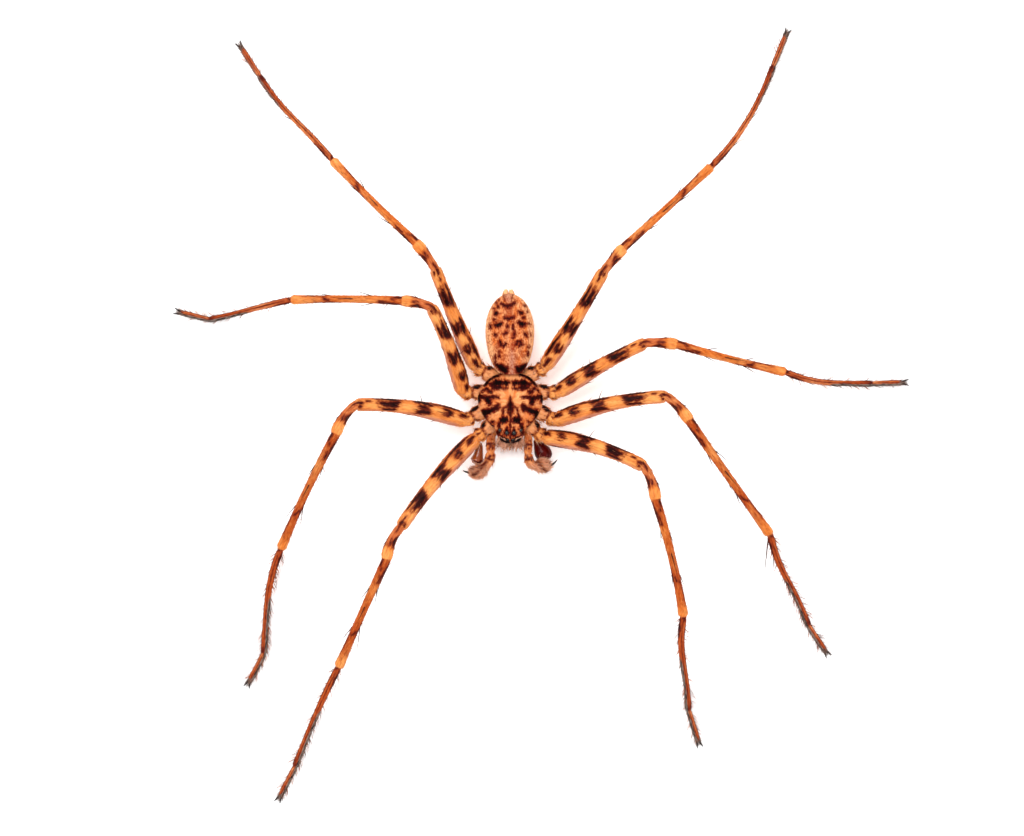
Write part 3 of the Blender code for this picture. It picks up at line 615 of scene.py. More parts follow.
# %% Where the legs leave the body
COXA_ROOT = {1: (1.5, -1.4, 3.2), 2: (1.9, 0.15, 3.2), 3: (1.9, 1.9, 3.2), 4: (1.6, 3.55, 3.25)}
COXA_NECK = {1: (3.4, -3.2, 3.4), 2: (4.94, -1.15, 3.45), 3: (4.94, 1.88, 3.45),
             4: (3.4, 4.6, 3.4)}
HIP = {1: (4.3, -3.85, 3.5), 2: (5.62, -1.8, 3.6), 3: (6.03, 1.82, 3.6), 4: (4.33, 5.0, 3.5)}
print("the hips are", [place[2] for place in HIP.values()], "mm high")

# %% Lengths and pose
# Thigh, patella, tibia, metatarsus and tarsus of each pair
LENGTHS = {
    1: (15.2, 4.5, 15.8, 14.2, 4.5),
    2: (15.1, 4.5, 18.1, 13.7, 4.3),
    3: (13.2, 4.0, 14.8, 11.8, 4.1),
    4: (14.9, 4.1, 15.6, 15.6, 4.6),
}
# The way each of them points, in degrees from the spider's left towards its tail, and how high
# the joint after each of the first four stands
POSE = {
    "L1": ((-16.3, -71.2, -76.2, -85.8, -72.7), (11.2, 12.0, 8.0, 1.0)),
    "L2": ((12.4, -47.9, -54.3, -66.3, -56.3), (7.55, 9.15, 5.8, 1.1)),
    "L3": ((29.5, -2.7, -14.0, -7.2, 1.9), (6.75, 7.2, 3.75, 0.95)),
    "L4": ((58.4, 50.2, 42.8, 58.4, 67.3), (7.25, 5.95, 3.45, 1.0)),
    "R1": ((-130.1, -113.8, -114.2, -113.7, -117.0), (6.2, 6.65, 2.55, 0.78)),
    "R2": ((171.6, -123.9, -116.4, -99.4, -117.9), (8.95, 9.5, 2.0, 0.75)),
    "R3": ((110.1, 167.2, 179.1, -167.3, 165.9), (10.15, 8.9, 4.95, 0.72)),
    "R4": ((112.6, 126.7, 135.1, 130.7, 123.0), (9.7, 10.05, 5.95, 0.72)),
}
TOE_HEIGHT = 0.3
LEG_NAMES = tuple(side + str(pair) for side in "LR" for pair in (1, 2, 3, 4))


def joints(leg):
    """Hip, knee, patella's end, wrist, heel and the end of the claws."""
    side, pair = leg[0], int(leg[1])
    x, y, z = HIP[pair]
    places = [np.array([x if side == "L" else -x, y, z])]
    headings, heights = POSE[leg]
    for length, heading, height in zip(LENGTHS[pair], headings, (*heights, TOE_HEIGHT)):
        rise = height - places[-1][2]
        run = math.sqrt(length * length - rise * rise)
        angle = math.radians(heading)
        places.append(places[-1] + np.array([run * math.cos(angle), run * math.sin(angle), rise]))
    return places


print("knee of L1 at", np.round(joints("L1")[1], 1))

# %% Middle lines
# How far femur, patella, tibia and metatarsus bow to the right at their middle, seen from above
BOW = {
    "L1": (-0.71, -0.27, -0.30, 0.35), "L2": (-0.63, -0.21, 0.06, 0.20),
    "L3": (-0.30, -0.12, 0.15, 0.62), "L4": (0.12, -0.01, 0.06, 0.85),
    "R1": (0.45, 0.38, 0.04, 0.22), "R2": (0.67, 0.36, 0.23, 0.64),
    "R3": (0.36, 0.18, 0.17, 0.00), "R4": (-0.11, 0.09, -0.16, -0.27),
}
# How far the metatarsus sways to both sides
SWAY = {"L1": 0.19, "L2": 0.19, "L3": 0.11, "L4": 0.03, "R1": 0.01, "R2": 0.11, "R3": 0.05,
        "R4": 0.15}


def middle_line(start, stop, bow, sway, sag, step_length):
    """Points from joint to joint, bowed and swayed to the right, seen from above."""
    count = max(4, int(round(np.linalg.norm(stop - start) / step_length)))
    part = np.linspace(0.0, 1.0, count, endpoint=False)
    run = stop - start
    right = np.array([run[1], -run[0], 0.0])
    right /= np.linalg.norm(right)
    aside = bow * 4.0 * part * (1.0 - part) + sway * np.sin(2.0 * np.pi * part)
    line = start + np.outer(part, run) + np.outer(aside, right)
    if sag:
        line[:, 2] = stop[2] + (start[2] - stop[2]) * (1.0 - part) ** 2
    return part, line


aside = middle_line(np.zeros(3), np.array([10.0, 0.0, 0.0]), 0.5, 0.0, False, 1.0)[1][:, 1]
print("a bow of 0.5 mm lies", np.round(aside.min(), 2), "mm aside at most")

# %% [markdown]
# ## How wide a leg is
# The thigh is a swollen club, the patella swells towards its end, and the joints pinch in. The
# little steps at the ends are the hard rims of each segment, with the soft joint skin sunk
# between them. A plain taper would look like a wire, so each segment has its own table of half
# widths. Where two segments meet, the middle line is rounded, as the joint's skin is.

# %% Half widths
SEGMENTS = ("coxa", "trochanter", "femur", "patella", "tibia", "metatarsus", "tarsus")
WIDTHS = {
    "coxa": ((0.0, 0.84), (0.45, 1.02), (0.85, 1.04), (0.93, 0.92), (1.0, 0.6)),
    "trochanter": ((0.0, 0.6), (0.14, 0.88), (0.5, 1.02), (0.8, 0.96), (0.9, 0.8), (1.0, 0.6)),
    "femur": ((0.0, 0.6), (0.015, 0.86), (0.06, 1.02), (0.16, 1.12), (0.28, 1.12), (0.42, 1.0),
              (0.6, 0.88), (0.8, 0.82), (0.93, 0.84), (0.98, 0.8), (1.0, 0.56)),
    "patella": ((0.0, 0.54), (0.06, 0.6), (0.25, 0.57), (0.5, 0.64), (0.75, 0.74), (0.87, 0.75),
                (0.96, 0.68), (1.0, 0.6)),
    "tibia": ((0.0, 0.6), (0.06, 0.6), (0.2, 0.56), (0.45, 0.5), (0.75, 0.51), (0.92, 0.6),
              (0.975, 0.65), (0.99, 0.6), (1.0, 0.38)),
    "metatarsus": ((0.0, 0.36), (0.02, 0.42), (0.06, 0.46), (0.15, 0.45), (0.45, 0.39), (0.75, 0.37),
                   (0.95, 0.43), (0.98, 0.42), (1.0, 0.25)),
    "tarsus": ((0.0, 0.27), (0.06, 0.35), (0.4, 0.35), (0.75, 0.37), (0.93, 0.3), (1.0, 0.16)),
}
REAR_PAIR_SLIM = {"femur": 0.96, "tibia": 0.94, "metatarsus": 0.92, "tarsus": 0.95}
LEG_FLAT = 0.84
RING_STEP = 0.15
LEG_SIDES = 32
print("widest part of a leg:", 2.0 * max(half for _, half in WIDTHS["femur"]), "mm")

# %% Rings of the legs
TOE_BEHIND_TIP = 0.1
CORNER_ROUNDS = 4


def rounded(values, rounds):
    """Values along a line, each averaged with its neighbours."""
    for _ in range(rounds):
        values[1:-1] = values[1:-1] * 0.5 + (values[:-2] + values[2:]) * 0.25
    return values


def stops_of(leg, sign):
    """Where the segments of a leg begin, from inside the body to the toe."""
    pair = int(leg[1])
    root, neck = (np.array([sign * x, y, z]) for x, y, z in (COXA_ROOT[pair], COXA_NECK[pair]))
    places = joints(leg)
    along = (places[5] - places[4]) * (1.0, 1.0, 0.0)
    places[5] = places[5] - along / np.linalg.norm(along) * TOE_BEHIND_TIP
    return [root, neck, *places]


def leg_line(leg):
    """The rings of a leg: segment number, part of it, middle, half width, and directions."""
    sign = 1.0 if leg[0] == "L" else -1.0
    stops = stops_of(leg, sign)
    bows = (0.0, 0.0, *BOW[leg], 0.0)
    rows = []
    for number, segment in enumerate(SEGMENTS):
        sway = SWAY[leg] if segment == "metatarsus" else 0.0
        part, line = middle_line(stops[number], stops[number + 1], bows[number], sway,
                                 segment == "tarsus", RING_STEP)
        table = np.array(WIDTHS[segment])
        slim = REAR_PAIR_SLIM.get(segment, 1.0) if int(leg[1]) > 2 else 1.0
        rows.append((np.full(len(part), number), part, line,
                     np.interp(part, table[:, 0], table[:, 1]) * slim))
    numbers, parts, middles, halves = (np.concatenate(column) for column in zip(*rows))
    middles, halves = rounded(middles, CORNER_ROUNDS), rounded(halves, 1)
    ahead = np.gradient(middles, axis=0)
    ahead /= np.linalg.norm(ahead, axis=1)[:, None]
    rear = np.stack([-ahead[:, 1], ahead[:, 0], 0.0 * ahead[:, 0]], -1) * sign
    rear /= np.linalg.norm(rear, axis=1)[:, None]
    return {"number": numbers, "part": parts, "middle": middles, "half": halves,
            "ahead": ahead, "rear": rear, "up": np.cross(rear, ahead) * -sign}


LINES = {leg: leg_line(leg) for leg in LEG_NAMES}
print("rings:", {leg: len(line["part"]) for leg, line in LINES.items()})

# %% [markdown]
# ## Markings of the legs
# Every thigh has the same marks: a spot at its root, a ringed spot, two broken bands and a dot
# before the knee. They are darkest on the side that faces back. Each mark is a stroke of points
# (part of the segment's length, degrees round it, brush radius in mm), with 0 degrees on top and
# 90 at the rear. One drawing serves all legs, which is far less work than eight. Each leg rolls
# it and shifts it a little, as legs differ in the photograph.

# %% Dark strokes on the thigh
FEMUR_DARK = (
    ((0.01, 40, 0.16), (0.055, 32, 0.24), (0.075, 24, 0.1)),
    ((0.09, 72, 0.14), (0.15, 70, 0.24), (0.23, 68, 0.14), (0.33, 54, 0.05)),
    ((0.355, 46, 0.2), (0.41, 56, 0.36), (0.475, 62, 0.2)),
    ((0.37, -12, 0.28), (0.42, -16, 0.32), (0.475, -40, 0.06)),
    ((0.385, 10, 0.2), (0.44, 24, 0.2)),
    ((0.625, 60, 0.16), (0.68, 60, 0.3), (0.82, 66, 0.12)),
    ((0.64, 36, 0.22), (0.675, 10, 0.44), (0.73, 4, 0.44), (0.775, 14, 0.24)),
    ((0.67, -34, 0.2), (0.755, -42, 0.22)),
    ((0.885, 33, 0.1), (0.91, 33, 0.07)),
)
# Two arcs that ring a spot, on the last three pairs of legs, and what the foremost pair has
FEMUR_RING = (
    ((0.172, 20, 0.26), (0.195, 34, 0.18), (0.225, 34, 0.14)),
    ((0.172, 20, 0.26), (0.19, 4, 0.18), (0.222, 6, 0.12)),
)
FOREMOST_DARK = (
    ((0.185, 34, 0.2), (0.205, 20, 0.26), (0.22, 14, 0.12)),
    ((0.66, 38, 0.3), (0.72, 40, 0.2)),
    ((0.39, 20, 0.2), (0.44, 40, 0.24), (0.47, 56, 0.2)),
    ((0.05, 78, 0.1), (0.14, 72, 0.28), (0.25, 66, 0.16), (0.36, 58, 0.12)),
    ((0.06, -84, 0.14), (0.13, -80, 0.18), (0.24, -82, 0.08)),
)
# Shallow strokes that fill the bands with broken brown
FEMUR_FILL = (
    ((0.15, 66, 0.1), (0.18, 30, 0.22), (0.2, 2, 0.2)),
    ((0.37, 60, 0.3), (0.41, 20, 0.34), (0.42, -24, 0.38)),
    ((0.65, 70, 0.4), (0.68, 20, 0.55), (0.7, -30, 0.42)),
    ((0.72, 60, 0.3), (0.78, 20, 0.4), (0.76, -34, 0.3)),
)
FILL_DEPTH = -0.09
print("dark strokes on a thigh:", len(FEMUR_DARK), "and", len(FEMUR_RING), "or", len(FOREMOST_DARK))

# %% Black and clear strokes on the thigh
FEMUR_BLACK = (
    ((0.11, 74, 0.1), (0.16, 71, 0.16), (0.24, 70, 0.08)),
    ((0.165, 22, 0.1), (0.175, 12, 0.08)),
    ((0.38, 62, 0.16), (0.41, 56, 0.18)),
    ((0.42, 78, 0.12), (0.48, 74, 0.06)),
    ((0.37, -10, 0.12), (0.385, -16, 0.1)),
    ((0.65, 66, 0.1), (0.72, 68, 0.16), (0.82, 70, 0.05)),
    ((0.672, 8, 0.16), (0.68, 14, 0.12)),
    ((0.895, 33, 0.03),),
)
# Ground that shows through a spot, and through a band on the last three pairs
SPOT_CLEAR = (
    ((0.436, 44, 0.1), (0.452, 40, 0.06)),
    ((0.2, 20, 0.06), (0.23, 20, 0.07)),
)
BAND_CLEAR = (
    ((0.71, -6, 0.03), (0.8, -10, 0.05)),
    ((0.72, 28, 0.02), (0.8, 30, 0.05)),
)
print("black strokes on a thigh:", len(FEMUR_BLACK))

# %% Strokes on the rest of a leg
PATELLA_DARK = (
    ((0.28, -62, 0.14), (0.46, -40, 0.26), (0.6, -52, 0.1)),
    ((0.46, 66, 0.04), (0.66, 74, 0.05)),
    ((0.44, 8, 0.04), (0.56, 0, 0.1)),
    ((0.02, 20, 0.12), (0.14, 14, 0.04)),
)
TIBIA_DARK = (
    ((0.02, -64, 0.08), (0.1, -52, 0.2), (0.19, -56, 0.1)),
    ((0.0, 52, 0.16), (0.055, 44, 0.1)),
    ((0.075, 16, 0.07), (0.085, 16, 0.05)),
    ((0.14, -20, 0.05), (0.2, -24, 0.09)),
    ((0.56, -76, 0.05), (0.66, -60, 0.1), (0.72, -66, 0.04)),
    ((0.655, -24, 0.09), (0.68, -10, 0.1), (0.7, 22, 0.05)),
    ((0.7, 52, 0.03), (0.86, 58, 0.03)),
)
METATARSUS_DARK = (
    ((0.03, -58, 0.1), (0.1, -52, 0.18), (0.2, -60, 0.08)),
    ((0.0, 0, 0.1), (0.02, 40, 0.08)),
)
PATELLA_GREY = (((0.3, -66, 0.3), (0.46, -44, 0.45), (0.58, -56, 0.25)),)
TIBIA_GREY = (((0.03, -66, 0.2), (0.1, -60, 0.36), (0.17, -64, 0.2)),)
# Two dark knobs that the knee turns on
KNEE_DARK = ((0.962, 14, 0.1), (0.99, 20, 0.16)), ((0.975, -22, 0.1), (0.995, -30, 0.06))
# The next two have their places round the leg in radians, and the coxa's along it in mm
TROCHANTER_DARK = (((0.45, 0.85, 0.08), (0.62, 1.15, 0.22)), ((0.4, -0.7, 0.0), (0.6, -0.9, 0.08)),
                   ((0.5, 0.2, 0.0), (0.75, 0.3, 0.06)))
COXA_DARK = (((1.75, 0.95, 0.2), (2.15, 0.75, 0.32)), ((2.1, -0.9, 0.02), (2.4, -0.8, 0.06)))
COXA_LENGTH = 2.6
print("strokes on the tibia:", len(TIBIA_DARK))

# %% Strokes on a segment
# Half width of the flat drawing of each segment. Drawings are shorter than the real length, so
# marks come out longer along the leg than round it, as pigment follows the rows of hair.
DRAWN_HALF = {"femur": 0.95, "patella": 0.62, "tibia": 0.53, "metatarsus": 0.4}
KNOB_HALF = 0.7
DRAWN_OUT = 0.65
# How far each leg turns its strokes, in degrees, and shifts them, in parts of the thigh
ROLL = {"L1": 0, "L2": 0, "L3": -2, "L4": -27, "R1": -18, "R2": 0, "R3": 9, "R4": -22}
SHIFT = {"L1": 0.0, "L2": 0.008, "L3": -0.004, "L4": 0.025, "R1": 0.025, "R2": 0.003,
         "R3": 0.02, "R4": 0.02}


def in_strokes(leg, segment, part, degrees, strokes, half=None, roll=0.0, shift=0.0):
    """How far points of a segment lie inside strokes, in millimetres."""
    length = LENGTHS[int(leg[1])][SEGMENTS.index(segment) - 2] * DRAWN_OUT
    half = half or DRAWN_HALF[segment]
    drawn = [[((at + shift) * length, math.radians(angle + roll) * half, radius)
              for at, angle, radius in stroke] for stroke in strokes]
    return inside(part * length, np.radians(degrees) * half, drawn)


on_top = in_strokes("L1", "tibia", np.array([0.68]), np.array([-10.0]), TIBIA_DARK)
print("a dark spot of the tibia is", np.round(on_top, 2), "mm deep")

# %% Pigments of the thigh
SHOW_GROUND = 1.5


def paint_femur(leg, part, degrees):
    """Spots and bands, dusky in front, with knobs and pale skin at the knee."""
    here = (leg, "femur", part, degrees)
    turned = {"roll": ROLL[leg], "shift": SHIFT[leg]}
    foremost = leg[1] == "1"
    more = FOREMOST_DARK if foremost else FEMUR_RING
    clear = in_strokes(*here, SPOT_CLEAR if foremost else SPOT_CLEAR + BAND_CLEAR, **turned)
    fill = np.minimum(in_strokes(*here, FEMUR_FILL, **turned), FILL_DEPTH)
    dark = np.maximum(in_strokes(*here, FEMUR_DARK + more, **turned), fill)
    dark = np.minimum(dark, -clear * SHOW_GROUND)
    black = np.minimum(in_strokes(*here, FEMUR_BLACK, **turned), -clear * SHOW_GROUND)
    front = step(-degrees, 24.0, 56.0) * step(degrees, -160.0, -120.0)
    knee_skin = step(part, 0.955, 0.985) * (1.0 - hill(degrees, 10.0, 30.0))
    return {"brown": 0.4 * step(degrees, 30.0, 75.0),
            "pale": np.maximum(0.35, knee_skin * 0.9),
            "dusk": front * step(part, 0.02, 0.12) * (1.0 - 0.6 * step(part, 0.42, 0.6)) * 0.9,
            "dark": np.maximum(dark, in_strokes(*here, KNEE_DARK, half=KNOB_HALF)),
            "black": black}


thigh = paint_femur("L1", np.linspace(0.0, 1.0, 5), np.full(5, 60.0))
print("dark along a thigh:", np.round(thigh["dark"], 2))

# %% Pigments of the hip


def paint_coxa(leg, part, degrees):
    """Pale, with one large dark mark at the rear and a rim."""
    mark = inside(part * COXA_LENGTH, np.radians(degrees), COXA_DARK)
    return {"pale": 1.0, "dusk": 0.4, "dark": np.maximum(mark, 0.05 - np.abs(part - 0.99) * 3.0),
            "black": mark + 0.02}


def paint_trochanter(leg, part, degrees):
    """Pale, with three stripes and a dark rim at both ends."""
    rims = np.maximum(0.05 - np.abs(part - 0.98) * 1.4, 0.04 - np.abs(part - 0.04) * 1.4)
    stripes = inside(part, np.radians(degrees), TROCHANTER_DARK)
    top_side = step(60.0 - np.abs(degrees), 0.0, 30.0)
    return {"pale": 0.8, "dark": np.maximum(rims - 0.06 * (1.0 - top_side), stripes),
            "black": stripes - 0.16}


hip = paint_coxa("L1", np.linspace(0.0, 1.0, 5), np.full(5, 50.0))
print("dark along a coxa:", np.round(hip["dark"], 2))

# %% Pigments of the shank


def late(leg):
    """How dark the far segments are: the two pairs in front are the darker ones."""
    return 1.0 if leg[1] in "12" else 0.55


def paint_patella(leg, part, degrees):
    """Brown, paler from its middle on, with an ashy patch in front."""
    here = (leg, "patella", part, degrees)
    return {"brown": (1.0 - step(part, 0.6, 0.72)) * 0.5, "pale": step(part, 0.66, 0.8) * 0.4,
            "dusk": (1.0 - step(part, 0.5, 0.66)) * 0.3,
            "grey": np.maximum(0.0, in_strokes(*here, PATELLA_GREY)),
            "dark": in_strokes(*here, PATELLA_DARK)}


def paint_tibia(leg, part, degrees):
    """Rusty, with a light band, a light end and small dark marks."""
    here = (leg, "tibia", part, degrees)
    light = np.clip(0.35 * hill(part, 0.27, 0.07) + 0.85 * step(part, 0.84, 0.97), 0.0, 1.0)
    return {"brown": (0.75 * late(leg) * (1.0 - light) + 0.35 * hill(part, 0.68, 0.06)
                      + 0.3 * hill(part, 0.06, 0.06)),
            "pale": 0.1 * step(part, 0.86, 0.95),
            "grey": np.maximum(0.0, in_strokes(*here, TIBIA_GREY)),
            "dark": in_strokes(*here, TIBIA_DARK)}


shank = paint_tibia("L1", np.linspace(0.0, 1.0, 5), np.zeros(5))
print("brown along a tibia:", np.round(shank["brown"], 2))

# %% Pigments of the foot
BRUSH_START = {1: 0.42, 2: 0.45, 3: 0.5, 4: 0.6}


def under_foot(degrees):
    """The side that the grey brush covers: in front, and below."""
    return step(-degrees, -6.0, 32.0) + step(degrees, 110.0, 150.0)


def foot_edges(degrees):
    """A dark line behind and a thin one on top."""
    return np.maximum(0.12 - np.abs(degrees - 72.0) / 80.0, 0.06 - np.abs(degrees - 4.0) / 70.0)


def paint_metatarsus(leg, part, degrees):
    """Dark brown with darker lines along it, and grey where the brush begins."""
    pair = int(leg[1])
    even = 0.95 * (0.6 + 0.4 * late(leg))
    uneven = (1.0 - late(leg)) * (0.7 * step(part, 0.55, 0.75) - 0.9 * hill(part, 0.36, 0.16))
    brushed = step(part, BRUSH_START[pair] - 0.1, BRUSH_START[pair] + 0.12)
    lines = foot_edges(degrees) - 0.08 * step(np.abs(part - 0.5), 0.35, 0.5)
    marks = in_strokes(leg, "metatarsus", part, degrees, METATARSUS_DARK)
    rim = 0.05 - np.abs(part - 0.97) * 2.2
    return {"brown": even + uneven, "dusk": 0.4 if pair < 4 else 0.3,
            "grey": under_foot(degrees) * brushed * (0.9 if pair < 4 else 0.6),
            "dark": np.maximum(np.maximum(marks, lines), rim)}


def paint_tarsus(leg, part, degrees):
    """Brown towards the toe, grey below, with a dark tip."""
    grey = under_foot(degrees) * (0.95 if leg[1] in "123" else 0.5)
    return {"brown": 0.15 + 0.4 * step(part, 0.06, 0.2) + 0.3 * step(part, 0.3, 0.7), "dusk": 0.4,
            "grey": grey + 0.5 * step(part, 0.82, 1.0),
            "dark": np.maximum(foot_edges(degrees), step(part, 0.84, 1.0) * 0.25 - 0.2)}


foot = paint_metatarsus("L1", np.linspace(0.0, 1.0, 5), np.full(5, -60.0))
print("grey along a metatarsus:", np.round(foot["grey"], 2))

# %% Pigments of a whole leg
PAINT = (paint_coxa, paint_trochanter, paint_femur, paint_patella, paint_tibia, paint_metatarsus,
         paint_tarsus)


def leg_pigments(leg, number, part, turn):
    """The six pigments at a part of a segment and an angle round it, in radians."""
    degrees = np.degrees((turn + np.pi) % (2.0 * np.pi) - np.pi)
    made = unmarked(part)
    for index, paint in enumerate(PAINT):
        here = number == index
        for pigment, amount in paint(leg, part[here], degrees[here]).items():
            made[pigment][here] = amount
    return made


print("painted segments:", len(PAINT))

# %% [markdown]
# ## Leg skins
# A skin runs in one piece from inside the body to the claws, so that no seam shows at a joint.
# One tube for each segment would be simpler, but would leave a gap or a step at every joint.
# The rings are ellipses a little lower than wide. Nine fine ridges along the leg stand for the
# rows in which the hairs sit.

# %% Coordinates for the noise
LEG_DRAWN_OUT = 0.22
SEED_APART = 7.0


def run_of(middle):
    """How far along its middle line each ring lies."""
    steps = np.linalg.norm(np.diff(middle, axis=0), axis=1)
    return np.concatenate([[0.0], np.cumsum(steps)])


def weave_of(turn, half, along):
    """Millimetres across a tube, and a third number that runs along it more slowly."""
    return np.stack([np.cos(turn) * half, np.sin(turn) * half, along], -1)


print("noise on a leg is drawn out", round(1.0 / LEG_DRAWN_OUT, 1), "times along it")

# %% Build the leg skins
RIDGES = 9.0
RIDGE_HEIGHT = 0.012


def leg_skin(leg):
    """One skin over all the solids of a leg."""
    line = LINES[leg]
    turn = np.linspace(0.0, 2.0 * np.pi, LEG_SIDES, endpoint=False)[None, :]
    turn = turn + np.zeros((len(line["part"]), 1))
    half, part = line["half"][:, None] + 0.0 * turn, line["part"][:, None] + 0.0 * turn
    number = line["number"][:, None] + 0 * turn.astype(int)
    ridges = 1.0 + RIDGE_HEIGHT * np.cos(RIDGES * turn)
    up = line["up"][:, None, :] * (np.cos(turn) * half * ridges * LEG_FLAT)[..., None]
    rear = line["rear"][:, None, :] * (np.sin(turn) * half * ridges)[..., None]
    points = line["middle"][:, None, :] + up + rear
    points[..., 2] = np.maximum(points[..., 2], 0.0)
    values = leg_pigments(leg, number, part, turn)
    along = run_of(line["middle"])[:, None] * LEG_DRAWN_OUT + LEG_NAMES.index(leg) * SEED_APART
    values["weave"] = weave_of(turn, half, along + 0.0 * turn)
    made = skin(f"skin_leg_{leg}", points, values, leg_chitin)
    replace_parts(made, *[f"leg_{leg}_{part}" for part in ("coxa", "femur", "shank", "foot")])


for leg in LEG_NAMES:
    leg_skin(leg)
print("points on the first of", len(LEG_NAMES), "leg skins:", SKINS["leg_L1"]["points"].shape[:2])

# %% [markdown]
# ## Head shield
# The shield over the front half of the body is flat-topped behind and narrows to the eyes. A
# thin groove at its middle, where the sucking stomach's muscle holds, and faint ones that fan
# out from it dent the surface. It could be sculpted by hand. A loft of cross-sections from front
# to back keeps it to a short table that can be read and changed.

# %% Tables of the shield
# Place from front to back, half width, height of the rim and height of the top
SHIELD = (
    (-4.42, 0.95, 4.30, 4.70), (-4.20, 1.48, 4.20, 5.15), (-3.60, 1.70, 4.15, 5.62),
    (-2.90, 1.92, 4.10, 5.82), (-2.20, 2.62, 4.08, 5.86), (-1.20, 3.45, 4.05, 5.86),
    (0.00, 4.05, 4.02, 5.90), (1.20, 4.20, 4.02, 5.78), (2.30, 3.82, 4.05, 5.46),
    (3.30, 3.10, 4.10, 5.02), (4.00, 2.25, 4.18, 4.66), (4.38, 1.05, 4.25, 4.36),
)
SHIELD_DEPTH = 0.75
SHIELD_EASE = 0.28
SHIELD_RINGS = 170
SHIELD_SIDES = 200
# Strokes on the left half. The first is the groove in the middle, the others fan out from it.
GROOVES = (
    ((0.0, 0.95, 0.03), (0.0, 0.1, 0.1)),
    ((0.3, 0.1, 0.04), (1.25, -1.3, 0.05), (1.75, -2.6, 0.03)),
    ((0.8, 0.45, 0.04), (3.3, -0.1, 0.05)),
    ((0.9, 1.0, 0.04), (3.4, 1.75, 0.05)),
    ((0.7, 1.6, 0.04), (2.6, 2.6, 0.05)),
)
GROOVE_DEPTH = 0.09
MIDDLE_GROOVE_DEPTH = 0.10
print("sections of the shield:", len(SHIELD))

# %% Shape of the shield


def eased(table, at, reach):
    """The columns of a table, read in straight lines and averaged over a short reach."""
    table = np.array(table)
    near = at[:, None] + np.linspace(-reach, reach, 11)[None, :]
    return [np.interp(near, table[:, 0], column).mean(axis=1) for column in table.T[1:]]


def shield_shape():
    """A dome over the rim and a shallow floor under it, with the grooves pressed in."""
    along = -np.cos(np.linspace(0.0, np.pi, SHIELD_RINGS))
    front, rear = SHIELD[0][0], SHIELD[-1][0]
    station = (front + rear) / 2.0 + along * (rear - front) / 2.0
    half, rim, top = eased(SHIELD, station, SHIELD_EASE)
    half = half * np.clip((1.0 - np.abs(along) ** 60), 0.05, 1.0)
    turn = np.linspace(0.0, 2.0 * np.pi, SHIELD_SIDES, endpoint=False)
    sine, cosine = np.sin(turn)[None, :], np.cos(turn)[None, :]
    widest = max(row[1] for row in SHIELD)
    tall = np.where(sine > 0.0, (top - rim)[:, None], (SHIELD_DEPTH * half / widest)[:, None])
    x = half[:, None] * cosine
    y = station[:, None] + 0.0 * x
    z = rim[:, None] + tall * sine
    above = step(sine, 0.0, 0.25)
    z = z - GROOVE_DEPTH * above * step(inside(np.abs(x), y, GROOVES), -0.28, 0.06)
    z = z - MIDDLE_GROOVE_DEPTH * above * step(inside(np.abs(x), y, GROOVES[:1]), -0.1, 0.06)
    return np.stack([x, y, z], -1)


shield_grid = shield_shape()
print("shield:", round(float(np.ptp(shield_grid[..., 0])), 2), "mm wide")

# %% [markdown]
# ## Markings of the shield
# Black blotches with dark red edges lie on light orange in pairs. They are drawn once, for the
# left, and mirrored, as the real ones nearly are. The noise that frays them runs outwards from
# the groove, as the hairs do.

# %% Dark strokes on the shield
SHIELD_DARK = (
    ((1.2, 4.15, 0.05), (1.95, 3.92, 0.13), (2.6, 3.5, 0.16), (3.0, 3.05, 0.14), (3.38, 2.7, 0.06)),
    ((1.2, 3.05, 0.3), (1.72, 3.08, 0.42), (2.0, 2.8, 0.26)),
    ((0.42, 3.12, 0.2), (0.68, 3.1, 0.26), (0.5, 2.8, 0.12)),
    ((1.9, 2.9, 0.22), (2.35, 2.85, 0.18), (2.75, 3.02, 0.08)),
    ((1.1, 2.45, 0.12), (1.5, 2.5, 0.3), (2.3, 2.5, 0.16), (2.55, 2.75, 0.06)),
    ((0.4, 2.4, 0.05), (0.9, 2.3, 0.12)),
    ((3.05, 2.34, 0.12), (2.47, 1.85, 0.2)),
    ((3.5, 2.12, 0.1), (3.65, 1.9, 0.08)),
    ((3.95, 1.45, 0.14), (4.05, 0.75, 0.2)),
    ((3.85, 1.25, 0.26), (3.05, 1.12, 0.24), (2.3, 1.26, 0.17), (1.5, 1.22, 0.07)),
    ((2.85, 1.0, 0.32), (2.7, 0.45, 0.24)),
    ((1.55, 0.28, 0.1), (1.95, -0.22, 0.3), (2.7, -0.5, 0.3), (3.3, -0.72, 0.36)),
    ((3.3, -0.8, 0.3), (3.2, -1.4, 0.16)),
    ((1.45, -0.1, 0.08), (1.7, -0.35, 0.16)),
    ((2.28, -2.55, 0.12), (2.85, -2.15, 0.1)),
    ((2.2, -1.8, 0.06), (2.4, -2.05, 0.06)),
    ((0.0, 1.2, 0.02), (0.0, 0.7, 0.13), (0.1, 0.25, 0.24)),
    ((0.0, 0.25, 0.2), (0.0, -0.5, 0.1), (0.0, -2.5, 0.04), (0.0, -4.2, 0.02)),
    ((0.42, 0.1, 0.05), (0.87, -0.2, 0.05), (1.03, -1.0, 0.06), (1.15, -1.5, 0.08)),
    ((0.24, -0.1, 0.08), (0.3, -0.75, 0.08)),
    ((0.98, -1.2, 0.1), (1.0, -1.66, 0.38), (0.62, -1.66, 0.36)),
    ((1.42, -2.15, 0.14), (1.42, -2.6, 0.16), (1.4, -3.2, 0.16)),
    ((0.4, -2.6, 0.03), (0.43, -2.95, 0.12), (0.46, -3.3, 0.36)),
    # Dark curve on the front slope before the eyes: partly their dark rims, partly painted shade
    # under the brow
    ((1.05, -3.87, 0.1), (0.7, -4.08, 0.1), (0.22, -4.24, 0.06)),
    ((1.6, -2.9, 0.02), (1.62, -3.4, 0.1), (1.4, -3.6, 0.06)),
)
print("dark strokes:", len(SHIELD_DARK))

